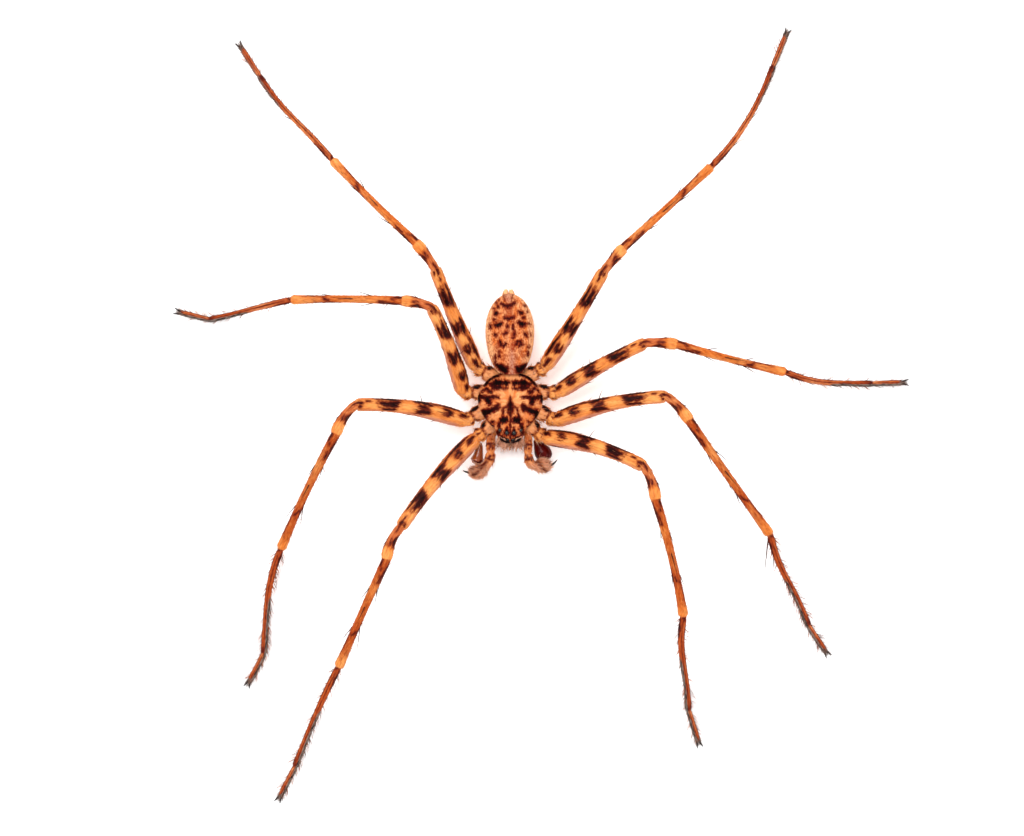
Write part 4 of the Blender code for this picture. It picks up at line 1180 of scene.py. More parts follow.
# %% Black strokes on the shield
SHIELD_BLACK = (
    ((1.3, 4.12, 0.03), (1.95, 3.93, 0.1), (2.6, 3.52, 0.12), (3.0, 3.07, 0.1), (3.35, 2.72, 0.03)),
    ((1.35, 3.1, 0.16), (1.7, 3.1, 0.26)),
    ((0.45, 3.1, 0.08), (0.68, 3.1, 0.12)),
    ((4.0, 1.25, 0.1), (4.08, 0.8, 0.14)),
    ((2.85, 0.95, 0.1), (2.75, 0.6, 0.08)),
    ((2.5, -0.45, 0.1), (3.35, -0.75, 0.22), (3.25, -1.3, 0.1)),
    ((0.95, -1.72, 0.24), (0.65, -1.7, 0.2)),
    ((0.0, 0.5, 0.04), (0.0, -0.7, 0.03)),
    ((2.35, -2.5, 0.06), (2.8, -2.2, 0.05)),
    ((1.4, -2.75, 0.04), (1.38, -3.2, 0.12)),
    # Black curve on the front slope before the eyes: partly their dark rims, partly painted shade
    # under the brow
    ((1.1, -3.95, 0.1), (0.7, -4.12, 0.12), (0.25, -4.26, 0.08)),
    ((0.46, -3.3, 0.2), (0.46, -3.28, 0.2)),
)
SHIELD_CLEAR = (
    ((0.66, -0.25, 0.1), (0.7, -0.75, 0.12)),
    ((1.15, 2.1, 0.15), (1.0, 1.5, 0.3)),
)
print("black strokes:", len(SHIELD_BLACK), "and clear ones:", len(SHIELD_CLEAR))

# %% Skin of the shield
DARK_WIDER = 0.07
BLACK_WIDER = 0.09
FAN_CENTRE_Y = 0.6


def shield_pigments(x, y, z):
    """The six pigments of the shield, and coordinates for its noise that fan out."""
    across = np.abs(x)
    above = step(z, 4.0, 4.25) > 0.5
    clear = inside(across, y, SHIELD_CLEAR)
    dark = np.where(above, inside(across, y, SHIELD_DARK) + DARK_WIDER, FAR_OUTSIDE)
    black = np.where(above, inside(across, y, SHIELD_BLACK) + BLACK_WIDER, FAR_OUTSIDE)
    reach = np.hypot(x, y - FAN_CENTRE_Y)
    angle = np.arctan2(x, y - FAN_CENTRE_Y)
    edge = 0.5 * step(reach, 3.5, 4.2)
    return {
        **unmarked(x),
        "brown": 0.35 * step(reach, 1.4, 3.6) * (1.0 - step(y, 0.0, 3.0)) + 0.3 * step(-y, 2.4, 4.2),
        "pale": np.clip(step(clear, -0.15, 0.1) + edge, 0.0, 1.0),
        "dusk": 0.3 * step(y, 3.3, 4.2) + 0.5 * step(-z, -4.3, -3.8),
        "dark": np.minimum(dark, -clear * SHOW_GROUND),
        "black": np.minimum(black, -clear * SHOW_GROUND),
        "weave": np.stack([angle * 2.6, reach * 0.42, z * 0.2], -1),
    }


shield_values = shield_pigments(*np.moveaxis(shield_grid, -1, 0))
shield = skin("skin_shield", shield_grid, shield_values, shield_chitin)
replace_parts(shield, "cephalothorax")
print("dark share of the shield:", (shield_values["dark"] > 0.0).mean().round(2))

# %% [markdown]
# ## Under the shield
# Below the shield lie the breastplate, between the hips, and the lip in front of it. Both are
# hard plates with soft edges. Each could be a loft too, but a squashed ball with full sides is
# enough, as little more than their rims can be seen.

# %% Breastplate and lip
PLATE_RINGS = 30
PLATE_SIDES = 40
PLATE_FULLNESS = 0.6


def fuller(value):
    """A sine or cosine pushed outwards, which makes a round section fuller."""
    return np.sign(value) * np.abs(value) ** PLATE_FULLNESS


def plate(name, centre, size):
    """A closed plate: a ball squashed to a size, with full sides."""
    fall = np.linspace(0.0, np.pi, PLATE_RINGS)[1:-1, None]
    turn = np.linspace(0.0, 2.0 * np.pi, PLATE_SIDES, endpoint=False)[None, :]
    ball = np.stack([fuller(np.sin(fall)) * np.cos(turn), fuller(np.sin(fall)) * np.sin(turn),
                     fuller(np.cos(fall)) + 0.0 * turn], -1)
    grid = ball * (np.array(size) / 2.0) + np.array(centre)
    values = unmarked(grid[..., 0])
    values.update(brown=values["brown"] + 0.6, dusk=values["dusk"] + 0.4, weave=grid)
    return skin(name, grid, values, shield_chitin)


plate("breastplate", (0.0, 0.95, 3.15), (4.3, 5.3, 2.0))
plate("lip", (0.0, -2.35, 3.0), (0.95, 1.7, 1.4))
print("breastplate:", round(float(np.ptp(SKINS["breastplate"]["points"][..., 1])), 1), "mm long")

# %% [markdown]
# ## Abdomen
# The abdomen is a soft bag under a coat of short hair, egg-shaped, widest behind its middle.
# A sphere pulled about by hand would never meet the solid. So it is made as the solid is: two
# half eggs that meet at the widest place, with the shoulders raised.

# %% Measures of the abdomen
ABDOMEN_Y = 9.7
ABDOMEN_REACH = {"front": 6.1, "rear": 4.75}
ABDOMEN_HALF = 3.1
BELLY, ABDOMEN_MIDDLE, ABDOMEN_BACK = 1.85, 4.25, 6.35
ABDOMEN_LIFT = 0.9
SHOULDER_LIFT = 0.4
ABDOMEN_TURN = math.radians(0.7)
ABDOMEN_PIVOT_Y = 4.0
FLAT_FRONT = 4.15
ABDOMEN_RINGS = 170
ABDOMEN_SIDES = 180
print("abdomen", ABDOMEN_REACH["front"] + ABDOMEN_REACH["rear"], "mm long")

# %% Shape of the abdomen


def abdomen_shape():
    """Two half eggs with raised shoulders, turned a little about the waist, flat in front."""
    fall = np.linspace(0.02, np.pi - 0.02, ABDOMEN_RINGS)[:, None]
    turn = np.linspace(0.0, 2.0 * np.pi, ABDOMEN_SIDES, endpoint=False)[None, :]
    along, size = -np.cos(fall), np.sin(fall)
    sine, cosine = np.sin(turn), np.cos(turn)
    reach = np.where(along > 0.0, ABDOMEN_REACH["rear"], ABDOMEN_REACH["front"])
    lift = ABDOMEN_LIFT * np.maximum(0.0, -along) ** 2
    raised = lift * (1.0 - (1.0 - SHOULDER_LIFT) * step(sine, 0.1, 0.6))
    tall = np.where(sine > 0.0, ABDOMEN_BACK - ABDOMEN_MIDDLE, ABDOMEN_MIDDLE - BELLY) + 0.0 * size
    x = ABDOMEN_HALF * size * cosine
    y = ABDOMEN_Y + reach * along + 0.0 * x
    z = ABDOMEN_MIDDLE + raised + tall * size * sine
    sin_turn, cos_turn = math.sin(ABDOMEN_TURN), math.cos(ABDOMEN_TURN)
    x, y = (x * cos_turn - (y - ABDOMEN_PIVOT_Y) * sin_turn,
            ABDOMEN_PIVOT_Y + x * sin_turn + (y - ABDOMEN_PIVOT_Y) * cos_turn)
    y = np.maximum(y, FLAT_FRONT + 0.1 * x ** 2)
    return np.stack([x, y, z], -1)


abdomen_grid = abdomen_shape()
print("abdomen ends at y", round(float(abdomen_grid[..., 1].max()), 2), "mm")

# %% [markdown]
# ## Markings of the abdomen
# Two black patches in front, a pinkish stripe between them, pairs of spots, and a dark smile
# before the tail. The pairs aren't quite alike, so both sides are drawn. The ground is a fine
# tan and rust mottle with cream-coloured, streaked sides.

# %% Dark strokes on the abdomen
ABDOMEN_DARK = (
    ((-1.75, 5.36, 0.18), (-1.11, 4.98, 0.42), (-0.64, 4.6, 0.36), (-0.42, 5.0, 0.16)),
    ((2.05, 5.44, 0.1), (1.55, 5.05, 0.36), (1.05, 4.6, 0.32), (0.78, 5.05, 0.16)),
    ((-1.42, 6.89, 0.11),), ((-1.44, 6.46, 0.13),),
    ((-1.92, 6.5, 0.04), (-1.9, 5.55, 0.07)),
    ((2.24, 6.9, 0.09), (2.22, 6.57, 0.08)), ((2.26, 7.6, 0.09),),
    ((-1.31, 8.4, 0.12), (-1.2, 7.92, 0.16), (-0.9, 7.7, 0.1), (-0.62, 7.97, 0.14)),
    ((0.78, 7.98, 0.12), (0.85, 8.3, 0.14), (1.3, 8.34, 0.13), (1.42, 8.0, 0.13), (1.15, 7.74, 0.13)),
    ((-1.9, 9.16, 0.15),), ((1.85, 9.32, 0.12), (2.05, 9.05, 0.12)),
    ((-2.54, 10.4, 0.1), (-2.5, 10.12, 0.12)), ((2.38, 10.57, 0.08),),
    ((-1.86, 10.37, 0.22), (-1.54, 10.41, 0.28), (-1.19, 10.61, 0.18)),
    ((1.16, 10.75, 0.22), (1.48, 10.47, 0.32), (1.82, 10.55, 0.18)),
    ((-2.05, 11.12, 0.12),), ((1.67, 11.35, 0.16),),
    ((-1.82, 11.9, 0.26),), ((1.12, 12.1, 0.1), (1.4, 11.95, 0.22)),
    ((-0.75, 11.32, 0.1), (-0.25, 11.2, 0.16), (0.4, 11.36, 0.1)),
    ((-1.15, 13.16, 0.1), (-0.72, 12.92, 0.18), (-0.25, 12.8, 0.21), (0.22, 13.04, 0.18),
     (0.61, 13.3, 0.1)),
    ((-1.56, 12.75, 0.13),), ((-1.78, 13.27, 0.06),), ((1.87, 12.9, 0.08),),
    ((-0.37, 10.4, 0.08), (-0.38, 10.1, 0.1)), ((0.32, 10.4, 0.07), (0.36, 9.85, 0.09)),
    ((-0.48, 9.42, 0.09), (-0.8, 9.24, 0.1)), ((0.53, 9.4, 0.12), (0.5, 9.2, 0.12)),
    ((0.39, 8.8, 0.1),),
    ((-0.92, 14.4, -0.05), (-0.7, 13.5, -0.04)), ((0.3, 14.3, -0.05), (0.16, 13.5, -0.04)),
    ((2.55, 9.4, -0.02), (2.6, 9.0, -0.06)),
    ((-2.1, 12.5, 0.04),), ((2.2, 12.1, 0.04),), ((2.0, 12.9, 0.03),), ((-1.5, 13.6, 0.03),),
)
print("dark strokes:", len(ABDOMEN_DARK))

# %% Other strokes on the abdomen
ABDOMEN_BLACK = (
    ((-1.6, 5.25, 0.08), (-1.05, 4.95, 0.3), (-0.66, 4.62, 0.25), (-0.5, 4.85, 0.1)),
    ((1.95, 5.36, 0.04), (1.5, 5.0, 0.26), (1.05, 4.62, 0.2), (0.85, 4.95, 0.08)),
    ((-1.28, 8.2, 0.05), (-1.2, 7.95, 0.08)), ((1.38, 8.15, 0.05),),
    ((-1.6, 10.4, 0.14), (-1.25, 10.55, 0.08)),
    ((1.2, 10.7, 0.1), (1.5, 10.48, 0.18)),
    ((-1.82, 11.9, 0.12),), ((1.38, 11.95, 0.08),), ((-1.9, 9.16, 0.03),), ((1.95, 9.2, 0.04),),
    ((-2.52, 10.25, 0.02),),
)
TAIL_PLATE = (((-0.32, 14.3, 0.6), (-0.28, 13.7, 0.55)),)
ABDOMEN_BROWN = (
    ((-0.2, 12.3, 0.5), (-0.1, 11.7, 0.3)), ((0.7, 6.6, 0.16), (0.78, 6.1, 0.22)),
    ((-0.62, 6.5, 0.14), (-0.8, 6.1, 0.2)), ((1.4, 7.0, 0.2), (1.6, 6.5, 0.2)),
    ((-1.5, 8.0, 0.3), (-1.7, 7.4, 0.2)), ((0.5, 8.1, 0.3), (0.3, 7.4, 0.3)),
    ((0.5, 9.6, 0.2), (0.3, 9.0, 0.2)), ((-0.4, 9.8, 0.2), (-0.7, 9.2, 0.2)),
    ((-0.5, 11.5, 0.3), (0.5, 11.5, 0.3)),
)
print("black strokes:", len(ABDOMEN_BLACK), "and brown ones:", len(ABDOMEN_BROWN))

# %% Skin of the abdomen
ABDOMEN_MARKS_WIDER = 0.05
MARKS_ABOVE = 3.6


def abdomen_side(x, y):
    """How far out a point lies, from 0 at the back's middle to 1 on the pale sides."""
    off_axis = np.abs(x + 0.045 * (y - 8.0))
    half = ABDOMEN_HALF * np.sqrt(np.clip(1.0 - ((y - 9.4) / 5.6) ** 2, 0.02, 1.0))
    return step(off_axis / np.maximum(0.4, half), 0.68, 0.86)


def abdomen_pigments(x, y, z):
    """The six pigments of the abdomen, and the coordinates for its noise."""
    above = z > MARKS_ABOVE
    pale = abdomen_side(x, y) * 0.9 + step(-z, -4.6, -3.4) * 0.3 + step(y, 13.3, 14.4) * 0.7
    stripe = hill(x - 0.2, 0.0, 0.42) * step(-y, -9.5, -6.0)
    tail_plate = step(inside(x, y, TAIL_PLATE), 0.0, 0.3)
    dusk = stripe * 0.85 + 0.15 * step(-y, -7.5, -5.0) + 0.7 * tail_plate
    dark = inside(x, y, ABDOMEN_DARK) + ABDOMEN_MARKS_WIDER
    black = inside(x, y, ABDOMEN_BLACK) + ABDOMEN_MARKS_WIDER
    return {
        **unmarked(x),
        "brown": step(inside(x, y, ABDOMEN_BROWN), -0.25, 0.2) * 0.7 * above,
        "pale": np.clip(pale, 0.0, 1.0),
        "dusk": np.clip(dusk, 0.0, 1.0) * above,
        "dark": np.where(above, dark, FAR_OUTSIDE),
        "black": np.where(above, black, FAR_OUTSIDE),
        "weave": np.stack([x * 1.5, y * 0.85, z * 1.2], -1),
    }


abdomen_values = abdomen_pigments(*np.moveaxis(abdomen_grid, -1, 0))
abdomen = skin("skin_abdomen", abdomen_grid, abdomen_values, abdomen_skin)
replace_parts(abdomen, "abdomen", "pedicel")
print("dark share of the abdomen:", (abdomen_values["dark"] > 0.0).mean().round(2))

# %% [markdown]
# ## Small limbs from flowing tubes
# Jaws, feelers, spinnerets and claws are tubes that swell and bend. A Bezier curve with a radius
# at each point would draw one, but hair could not be planted on it. So a smooth line is laid
# through a few points (x, y, z, radius), and the rings of a skin stand on it.

# %% Flowing tubes
TUBE_STEP = 0.07
THINNEST = 0.02
LIMB_DRAWN_OUT = 0.3


def flowing(points):
    """A smooth line through a few points with radii."""
    points = np.array(points, float)
    padded = np.concatenate([[2.0 * points[0] - points[1]], points, [2.0 * points[-1] - points[-2]]])
    rows = []
    for a, b, c, d in zip(padded, padded[1:], padded[2:], padded[3:]):
        count = max(3, int(np.linalg.norm((c - b)[:3]) / TUBE_STEP))
        t = np.linspace(0.0, 1.0, count, endpoint=False)[:, None]
        rows.append(0.5 * (2.0 * b + (c - a) * t + (2.0 * a - 5.0 * b + 4.0 * c - d) * t ** 2
                           + (3.0 * b - a - 3.0 * c + d) * t ** 3))
    return np.concatenate([*rows, points[-1:]])


def limb(name, points, material, upward=(0.0, 0.0, 1.0), flat=1.0, sides=24, pigments=None):
    """A tube through points (x, y, z, radius), remembered for planting hair."""
    line = flowing(points)
    middle, radius = line[:, :3], np.maximum(line[:, 3], THINNEST)
    ahead = unit(np.gradient(middle, axis=0))
    side = unit(np.cross(ahead, np.array(upward)))
    up = np.cross(side, ahead)
    turn = np.linspace(0.0, 2.0 * np.pi, sides, endpoint=False)[None, :] + np.zeros((len(line), 1))
    grid = middle[:, None] + radius[:, None, None] * (up[:, None] * np.cos(turn)[..., None] * flat
                                                     + side[:, None] * np.sin(turn)[..., None])
    part = np.linspace(0.0, 1.0, len(line))[:, None] + 0.0 * turn
    values = unmarked(part)
    if pigments:
        values.update(pigments(part, turn, grid))
    along = run_of(middle)[:, None] * LIMB_DRAWN_OUT + 0.0 * turn
    values["weave"] = weave_of(turn, radius[:, None], along)
    return skin(name, grid, values, material)


def on_side(side, points):
    """Points of the left side as they are, or mirrored to the right."""
    return points if side == "L" else tuple((-x, *rest) for x, *rest in points)


print("mirrored:", on_side("R", ((1.0, 2.0, 3.0, 0.4),)))

# %% Spinnerets and waist
SPINNERETS = (((0.42, 13.6, 3.9, 0.46), (0.38, 14.4, 3.8, 0.4), (0.32, 15.0, 3.75, 0.2)),
              ((0.40, 13.4, 3.1, 0.4), (0.34, 14.1, 3.1, 0.32), (0.32, 14.6, 3.1, 0.2)))
TAIL_ASIDE = -0.24
WAIST = ((0.0, 3.4, 3.3, 0.5), (0.0, 4.4, 3.4, 0.42), (0.0, 6.2, 3.55, 0.6))


def spinneret_pigments(part, turn, grid):
    """Cream all over."""
    return {"pale": 0.9 + 0.0 * part}


def waist_pigments(part, turn, grid):
    """Brown all over."""
    return {"brown": 0.6 + 0.0 * part}


for number, points in enumerate(SPINNERETS):
    for side in "LR":
        line = [(x + TAIL_ASIDE, *rest) for x, *rest in on_side(side, points)]
        limb(f"spinneret_{side}_{number}", line, abdomen_skin, pigments=spinneret_pigments)
limb("waist", WAIST, shield_chitin, pigments=waist_pigments)
print("waist:", round(float(np.ptp(SKINS["waist"]["points"][..., 1])), 1), "mm long")

# %% [markdown]
# ## Polished chitin
# Jaws, claws, spines and the males' bulbs are chitin too, but harder and more deeply tanned,
# with a bare face that shines. The colour wanders a little between two tones. The eyes' lenses
# are clear chitin over black, so a glossy black does for them, without any glass to trace.

# %% Polished materials
LACQUER_ROUGHNESS = 0.06
DENT_DEPTH = 0.08 * MM


def polished(name, dark, light, rough, cloud=0.166667, coat_weight=0.0, gloss=0.3, relief=0.15):
    """Hard, glossy chitin between two colours, with clouds of a size in millimetres."""
    made, tree, shader = new_material(name)
    weave = add_node(tree, "Attribute", attribute_name="weave").outputs["Vector"]
    clouds = add_node(tree, "TexNoise", {"Vector": weave, "Scale": 1.0 / cloud, "Detail": 3.0})
    colour = add_node(tree, "Mix", {0: clouds.outputs[0], 6: linear(dark), 7: linear(light)},
                      data_type="RGBA")
    tree.links.new(colour.outputs[2], shader.inputs["Base Color"])
    shader.inputs["Roughness"].default_value = rough
    shader.inputs["IOR"].default_value = CHITIN_IOR
    shader.inputs["Specular IOR Level"].default_value = gloss
    shader.inputs["Metallic"].default_value = 0.0
    shader.inputs["Coat Weight"].default_value = coat_weight
    shader.inputs["Coat Roughness"].default_value = LACQUER_ROUGHNESS
    dents = add_node(tree, "Bump", {"Strength": relief, "Distance": DENT_DEPTH,
                                    "Height": clouds.outputs[0]})
    tree.links.new(dents.outputs[0], shader.inputs["Normal"])
    return made


JAW_COLOURS = ("#FFC09A", "#E08A60", "#A04A2A", "#E0A486", "#6A1A0C", "#2E0403", "#120101")
# Bare part of the mouth: dark red and smooth, with a soft shine
jaw_chitin = polished("polished_jaw_chitin", "#3A0F08", "#7A2A14", 0.28)
# Face of the jaws under its down: pinkish and nearly dull
body_chitin = chitin("downy_jaw_chitin", JAW_COLOURS, rough=0.5)
# Wet, folded organ: almost black, with red in the folds and small sharp lights
bulb_chitin = polished("polished_bulb_chitin", "#060000", "#600A05", 0.2, 0.3125, 0.12, 0.03, 1.0)
# Coiled duct: amber that shines as if lacquered
duct_chitin = polished("amber_duct_chitin", "#5A1A08", "#A8501E", 0.2, 0.625, 0.2)
# Fangs and claws: horny black with a brown sheen
black_chitin = polished("black_horny_chitin", "#0C0605", "#2A120C", 0.3)
# Lens of an eye: black with one small, sharp light
eye_lens = polished("wet_black_lens", "#040303", "#0A0706", 0.05, 1.0, 0.3)
print("polished:", jaw_chitin.name, "to", eye_lens.name)

# %% [markdown]
# ## Jaws and fangs
# The jaws are two stout knuckles that hang from the front of the shield, with a fang folded
# under each, and lobes of the mouth behind them. Over them the shield ends in a black brow,
# partly the dark rims of the front eyes and partly painted shade under the shield's front edge.
# Each is a tube, as the solids' jaws are, because from above only the knuckles show.

# %% Jaws, fangs, mouth lobes and brows
JAW = ((0.85, -3.6, 4.75, 0.6), (0.86, -4.22, 4.1, 0.74), (0.86, -4.42, 3.0, 0.74),
       (0.84, -4.36, 2.1, 0.64), (0.80, -4.22, 1.5, 0.42))
FANG = ((1.02, -4.42, 1.75, 0.27), (0.95, -4.42, 1.12, 0.24), (0.66, -4.32, 0.84, 0.17),
        (0.30, -4.18, 0.86, 0.05))
MOUTH_LOBE = ((1.2, -2.35, 2.6, 0.45), (1.1, -2.8, 2.5, 0.52), (0.88, -3.25, 2.38, 0.46),
              (0.66, -3.5, 2.25, 0.3))
# Black brow over the front eyes: partly their dark rims, partly painted shade under the shield's
# front edge
SHADED_BROW = ((0.06, -4.5, 5.16, 0.05), (0.34, -4.48, 5.3, 0.11), (0.75, -4.38, 5.26, 0.1),
        (1.08, -4.2, 5.22, 0.12), (1.36, -3.95, 5.12, 0.04))


def jaw_pigments(part, turn, grid):
    """Pinkish above, rusty below."""
    return {"dusk": 1.0 - step(part, 0.4, 0.9), "brown": part}


def brow_pigments(part, turn, grid):
    """Black all over: the dark rims of the front eyes, and painted shade under the shield's front
    edge.
    """
    return {"dark": 1.0 + part, "black": 1.0 + part}


for side in "LR":
    jaw = limb(f"jaw_{side}", on_side(side, JAW), body_chitin, (1.0, 0.0, 0.0),
               pigments=jaw_pigments)
    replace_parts(jaw, f"chelicera_{side}")
    limb(f"brow_{side}", on_side(side, SHADED_BROW), body_chitin, sides=12,
         pigments=brow_pigments)
    fang = limb(f"fang_tip_{side}", on_side(side, FANG), black_chitin, (0.0, 1.0, 0.0))
    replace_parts(fang, f"fang_{side}")
    lobe = limb(f"mouth_lobe_{side}", on_side(side, MOUTH_LOBE), jaw_chitin)
    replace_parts(lobe, f"endite_{side}")
print("jaw:", round(float(np.ptp(SKINS["jaw_L"]["points"][..., 2])), 1), "mm deep")

# %% [markdown]
# ## Feelers
# A feeler is a small leg of its own. A male's ends in a hairy spoon, which holds the bulb, a
# polished dark red organ that points back, and beside it stands a black spur. The two sides are
# bent and turned differently in the photograph, so each has its own table, and nothing here is
# mirrored.

# %% Tables of the feelers
FEELER = {
    "L": ((1.5, -2.8, 2.9, 0.42), (2.18, -3.5, 3.2, 0.48), (2.26, -4.6, 3.6, 0.54),
          (2.24, -5.7, 3.85, 0.5), (2.24, -5.95, 3.87, 0.42), (2.3, -6.3, 3.87, 0.56),
          (2.42, -6.9, 3.78, 0.6), (2.72, -7.32, 3.65, 0.56), (3.05, -7.5, 3.56, 0.44),
          (3.55, -7.5, 3.45, 0.74), (4.25, -7.4, 3.34, 0.9), (4.7, -7.25, 3.26, 0.72),
          (4.95, -7.1, 3.2, 0.35)),
    "R": ((-1.5, -2.8, 2.9, 0.42), (-2.3, -3.5, 3.2, 0.5), (-2.5, -4.6, 3.6, 0.6),
          (-2.5, -5.45, 3.85, 0.56), (-2.5, -5.72, 3.87, 0.46), (-2.55, -6.1, 3.87, 0.62),
          (-2.7, -6.8, 3.76, 0.66), (-3.0, -7.3, 3.65, 0.56), (-3.3, -7.65, 3.56, 0.6),
          (-3.75, -8.05, 3.45, 0.86), (-4.3, -8.2, 3.34, 0.95), (-4.7, -8.1, 3.26, 0.8),
          (-4.95, -7.9, 3.2, 0.4)),
}
SPUR = {
    "L": ((4.6, -7.5, 3.3, 0.22), (5.2, -7.42, 3.35, 0.17), (5.65, -7.12, 3.4, 0.12),
          (6.0, -6.7, 3.45, 0.04)),
    "R": ((-4.6, -8.3, 3.3, 0.22), (-5.2, -8.38, 3.35, 0.17), (-5.7, -8.28, 3.4, 0.12),
          (-6.1, -8.1, 3.45, 0.04)),
}
BULB = {
    "L": ((4.75, -6.75, 2.6, 0.5), (4.55, -6.4, 2.6, 0.95), (4.1, -5.75, 2.6, 1.08),
          (3.7, -5.1, 2.65, 0.8), (3.35, -4.6, 2.7, 0.45), (3.1, -4.25, 2.8, 0.2)),
    "R": ((-4.5, -7.3, 2.65, 0.5), (-4.3, -6.9, 2.6, 0.86), (-4.15, -6.3, 2.6, 0.7),
          (-4.02, -5.6, 2.65, 0.52), (-3.95, -5.0, 2.7, 0.42), (-3.9, -4.6, 2.8, 0.22)),
}
COIL = ((-4.75, -7.05, 3.1, 0.1), (-4.55, -6.98, 3.05, 0.36), (-4.15, -6.95, 3.0, 0.42),
        (-3.8, -6.98, 3.0, 0.34), (-3.6, -7.05, 3.0, 0.1))
print("points of a feeler:", len(FEELER["L"]))

# %% Pigments of the feelers
SPOON_SEAMS = (((3.2, -6.8, 0.07), (4.45, -8.25, 0.05)), ((-3.0, -6.95, 0.07), (-4.55, -8.75, 0.05)),
               ((-3.3, -7.3, 0.04), (-4.9, -8.0, 0.03)))
FEELER_MARKS = (
    ((-2.5, -4.75, 0.1), (-2.45, -5.0, 0.14)), ((-2.75, -5.3, 0.08),), ((-2.2, -5.2, 0.1),),
    ((-2.6, -6.25, 0.12), (-2.8, -6.5, 0.06)), ((-2.1, -6.2, 0.1),), ((-2.35, -4.1, 0.08),),
    ((2.05, -4.7, 0.1), (2.0, -5.05, 0.14)), ((2.4, -5.3, 0.1),), ((2.5, -4.3, 0.06),),
    ((2.1, -6.25, 0.1), (2.2, -6.6, 0.1)), ((2.6, -6.5, 0.12), (2.7, -6.8, 0.04)),
)
FEELER_JOINTS = (0.335, 0.57)


def feeler_pigments(part, turn, grid):
    """Dark rings at the joints, rusty thigh, dusty spoon with dark seams on top."""
    marks = inside(grid[..., 0], grid[..., 1], SPOON_SEAMS + FEELER_MARKS)
    dark = marks + FAR_OUTSIDE * (np.cos(turn) < 0.0)
    for joint in FEELER_JOINTS:
        dark = np.maximum(dark, 0.09 - np.abs(part - joint) * 9.0)
    return {"brown": 0.3 * (1.0 - step(part, 0.5, 0.7)),
            "dusk": 0.15 + 0.45 * step(part, 0.55, 0.75),
            "pale": 0.7 * step(part, 0.55, 0.75),
            "dark": dark}


print("marks on the feelers:", len(SPOON_SEAMS) + len(FEELER_MARKS))

# %% Feelers, spurs and bulbs
limb("disc_R", COIL, bulb_chitin, flat=0.8)
for side, bulb_finish in (("L", bulb_chitin), ("R", duct_chitin)):
    feeler = limb(f"feeler_{side}", FEELER[side], leg_chitin, flat=0.85,
                  pigments=feeler_pigments)
    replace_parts(feeler, f"palp_{side}_femur", f"palp_{side}_tibia")
    limb(f"spur_{side}", SPUR[side], black_chitin, sides=12)
    bulb = limb(f"bulb_{side}", BULB[side], bulb_finish, flat=0.9)
    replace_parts(bulb, f"palp_{side}_bulb")
print("the right feeler has", SKINS["feeler_R"]["points"].shape[0], "rings")

# %% [markdown]
# ## Eyes
# Eight eyes stand in two rows on the front of the shield. Each is a ball set in the chitin. An
# icosphere would do, but here the balls take their places and sizes from the solids' boxes, so
# that they can't drift from them.

# %% Eyes
EYE_RINGS = 18
EYE_SIDES = 28
EYE_NAMES = ("posterior_median", "posterior_lateral", "anterior_median", "anterior_lateral")


def globe(name, centre, radius):
    """A smooth ball for one eye."""
    fall = np.linspace(0.0, np.pi, EYE_RINGS)[1:-1, None]
    turn = np.linspace(0.0, 2.0 * np.pi, EYE_SIDES, endpoint=False)[None, :]
    grid = np.stack([np.sin(fall) * np.cos(turn), np.sin(fall) * np.sin(turn),
                     np.cos(fall) + 0.0 * turn], -1)
    points = with_ends(grid * radius + centre)
    points[-2:] = centre + np.array([[0.0, 0.0, radius], [0.0, 0.0, -radius]])
    return piece(name, points, ring_faces(EYE_RINGS - 2, EYE_SIDES), eye_lens, {"weave": points})


for side in "LR":
    for place in EYE_NAMES:
        low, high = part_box(f"eye_{side}_{place}")
        centre = np.array((low + high) / 2.0) / MM - ORIGIN
        radius = (high.x - low.x) / 2.0 / MM
        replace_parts(globe(f"lens_{side}_{place}", centre, radius), f"eye_{side}_{place}")
print("the last eye is", round(2.0 * radius, 2), "mm across")

# %% [markdown]
# ## Materials of hair and spines
# Hair and spines are grown from the same chitin. A single hair is a few thousandths of a
# millimetre thick, too fine to show, so each one here is drawn about 0.03 mm thick and there are
# fewer of them. As they read the pigments under their roots, the markings show through the coat.

# %% Hair materials
LEG_HAIR_COLOURS = ("#F8B878", "#E4904C", "#B45C30", "#C48A74", "#6A240E", "#300806", "#100303")
BODY_HAIR_COLOURS = ("#FFD0AA", "#F0A878", "#B46A42", "#F0B496", "#6A1E10", "#300806", "#100303")
# Down that lies flat: golden where the skin is orange, and dull, as hair scatters the light
leg_hair = chitin("fine_leg_hair", LEG_HAIR_COLOURS, rough=0.6, streaked=0.0, relief=0.0)
# Longer, softer down of the shield and jaws: cream to pink
body_hair = chitin("fine_body_hair", BODY_HAIR_COLOURS, rough=0.65, streaked=0.0, relief=0.0)
# Dense felt of the abdomen: in the skin's own colours, which hides any gloss
abdomen_hair = chitin("fine_abdomen_hair", ABDOMEN_COLOURS, rough=0.65, streaked=0.0, relief=0.0)
# Hair of the climbing brushes, split at the ends: grey to the eye, like a worn paint brush
brush_hair = polished("grey_brush_hair", "#33221C", "#B08A78", 0.6)
# Stiff spine, tanned hard: brown black with a faint shine
spine_chitin = polished("brown_black_spine", "#140405", "#4C1614", 0.4, gloss=0.1)
print("hair:", leg_hair.name, "to", spine_chitin.name)

# %% [markdown]
# ## Coat of the legs
# Short hair lies along each leg and only shows where it breaks the edge. Longer hairs stand off
# the sides of the feet, a comb of them runs along the front, and loose tufts cover the hips. A
# painted fur texture would leave the edge of a leg clean, and that edge is what the eye looks at.

# %% Where hair may grow on a leg
COXA, TROCHANTER, FEMUR, PATELLA, TIBIA, METATARSUS, TARSUS = range(7)


def on_leg(leg, chance):
    """Turns a chance at (leg, segment, part, degrees) into one at places of the leg's skin."""
    line = LINES[leg]

    def at(s, t):
        i = np.clip(np.rint(s).astype(int), 0, len(line["part"]) - 1)
        degrees = (t * 360.0 + 180.0) % 360.0 - 180.0
        return chance(leg, line["number"][i], line["part"][i], degrees)

    return at


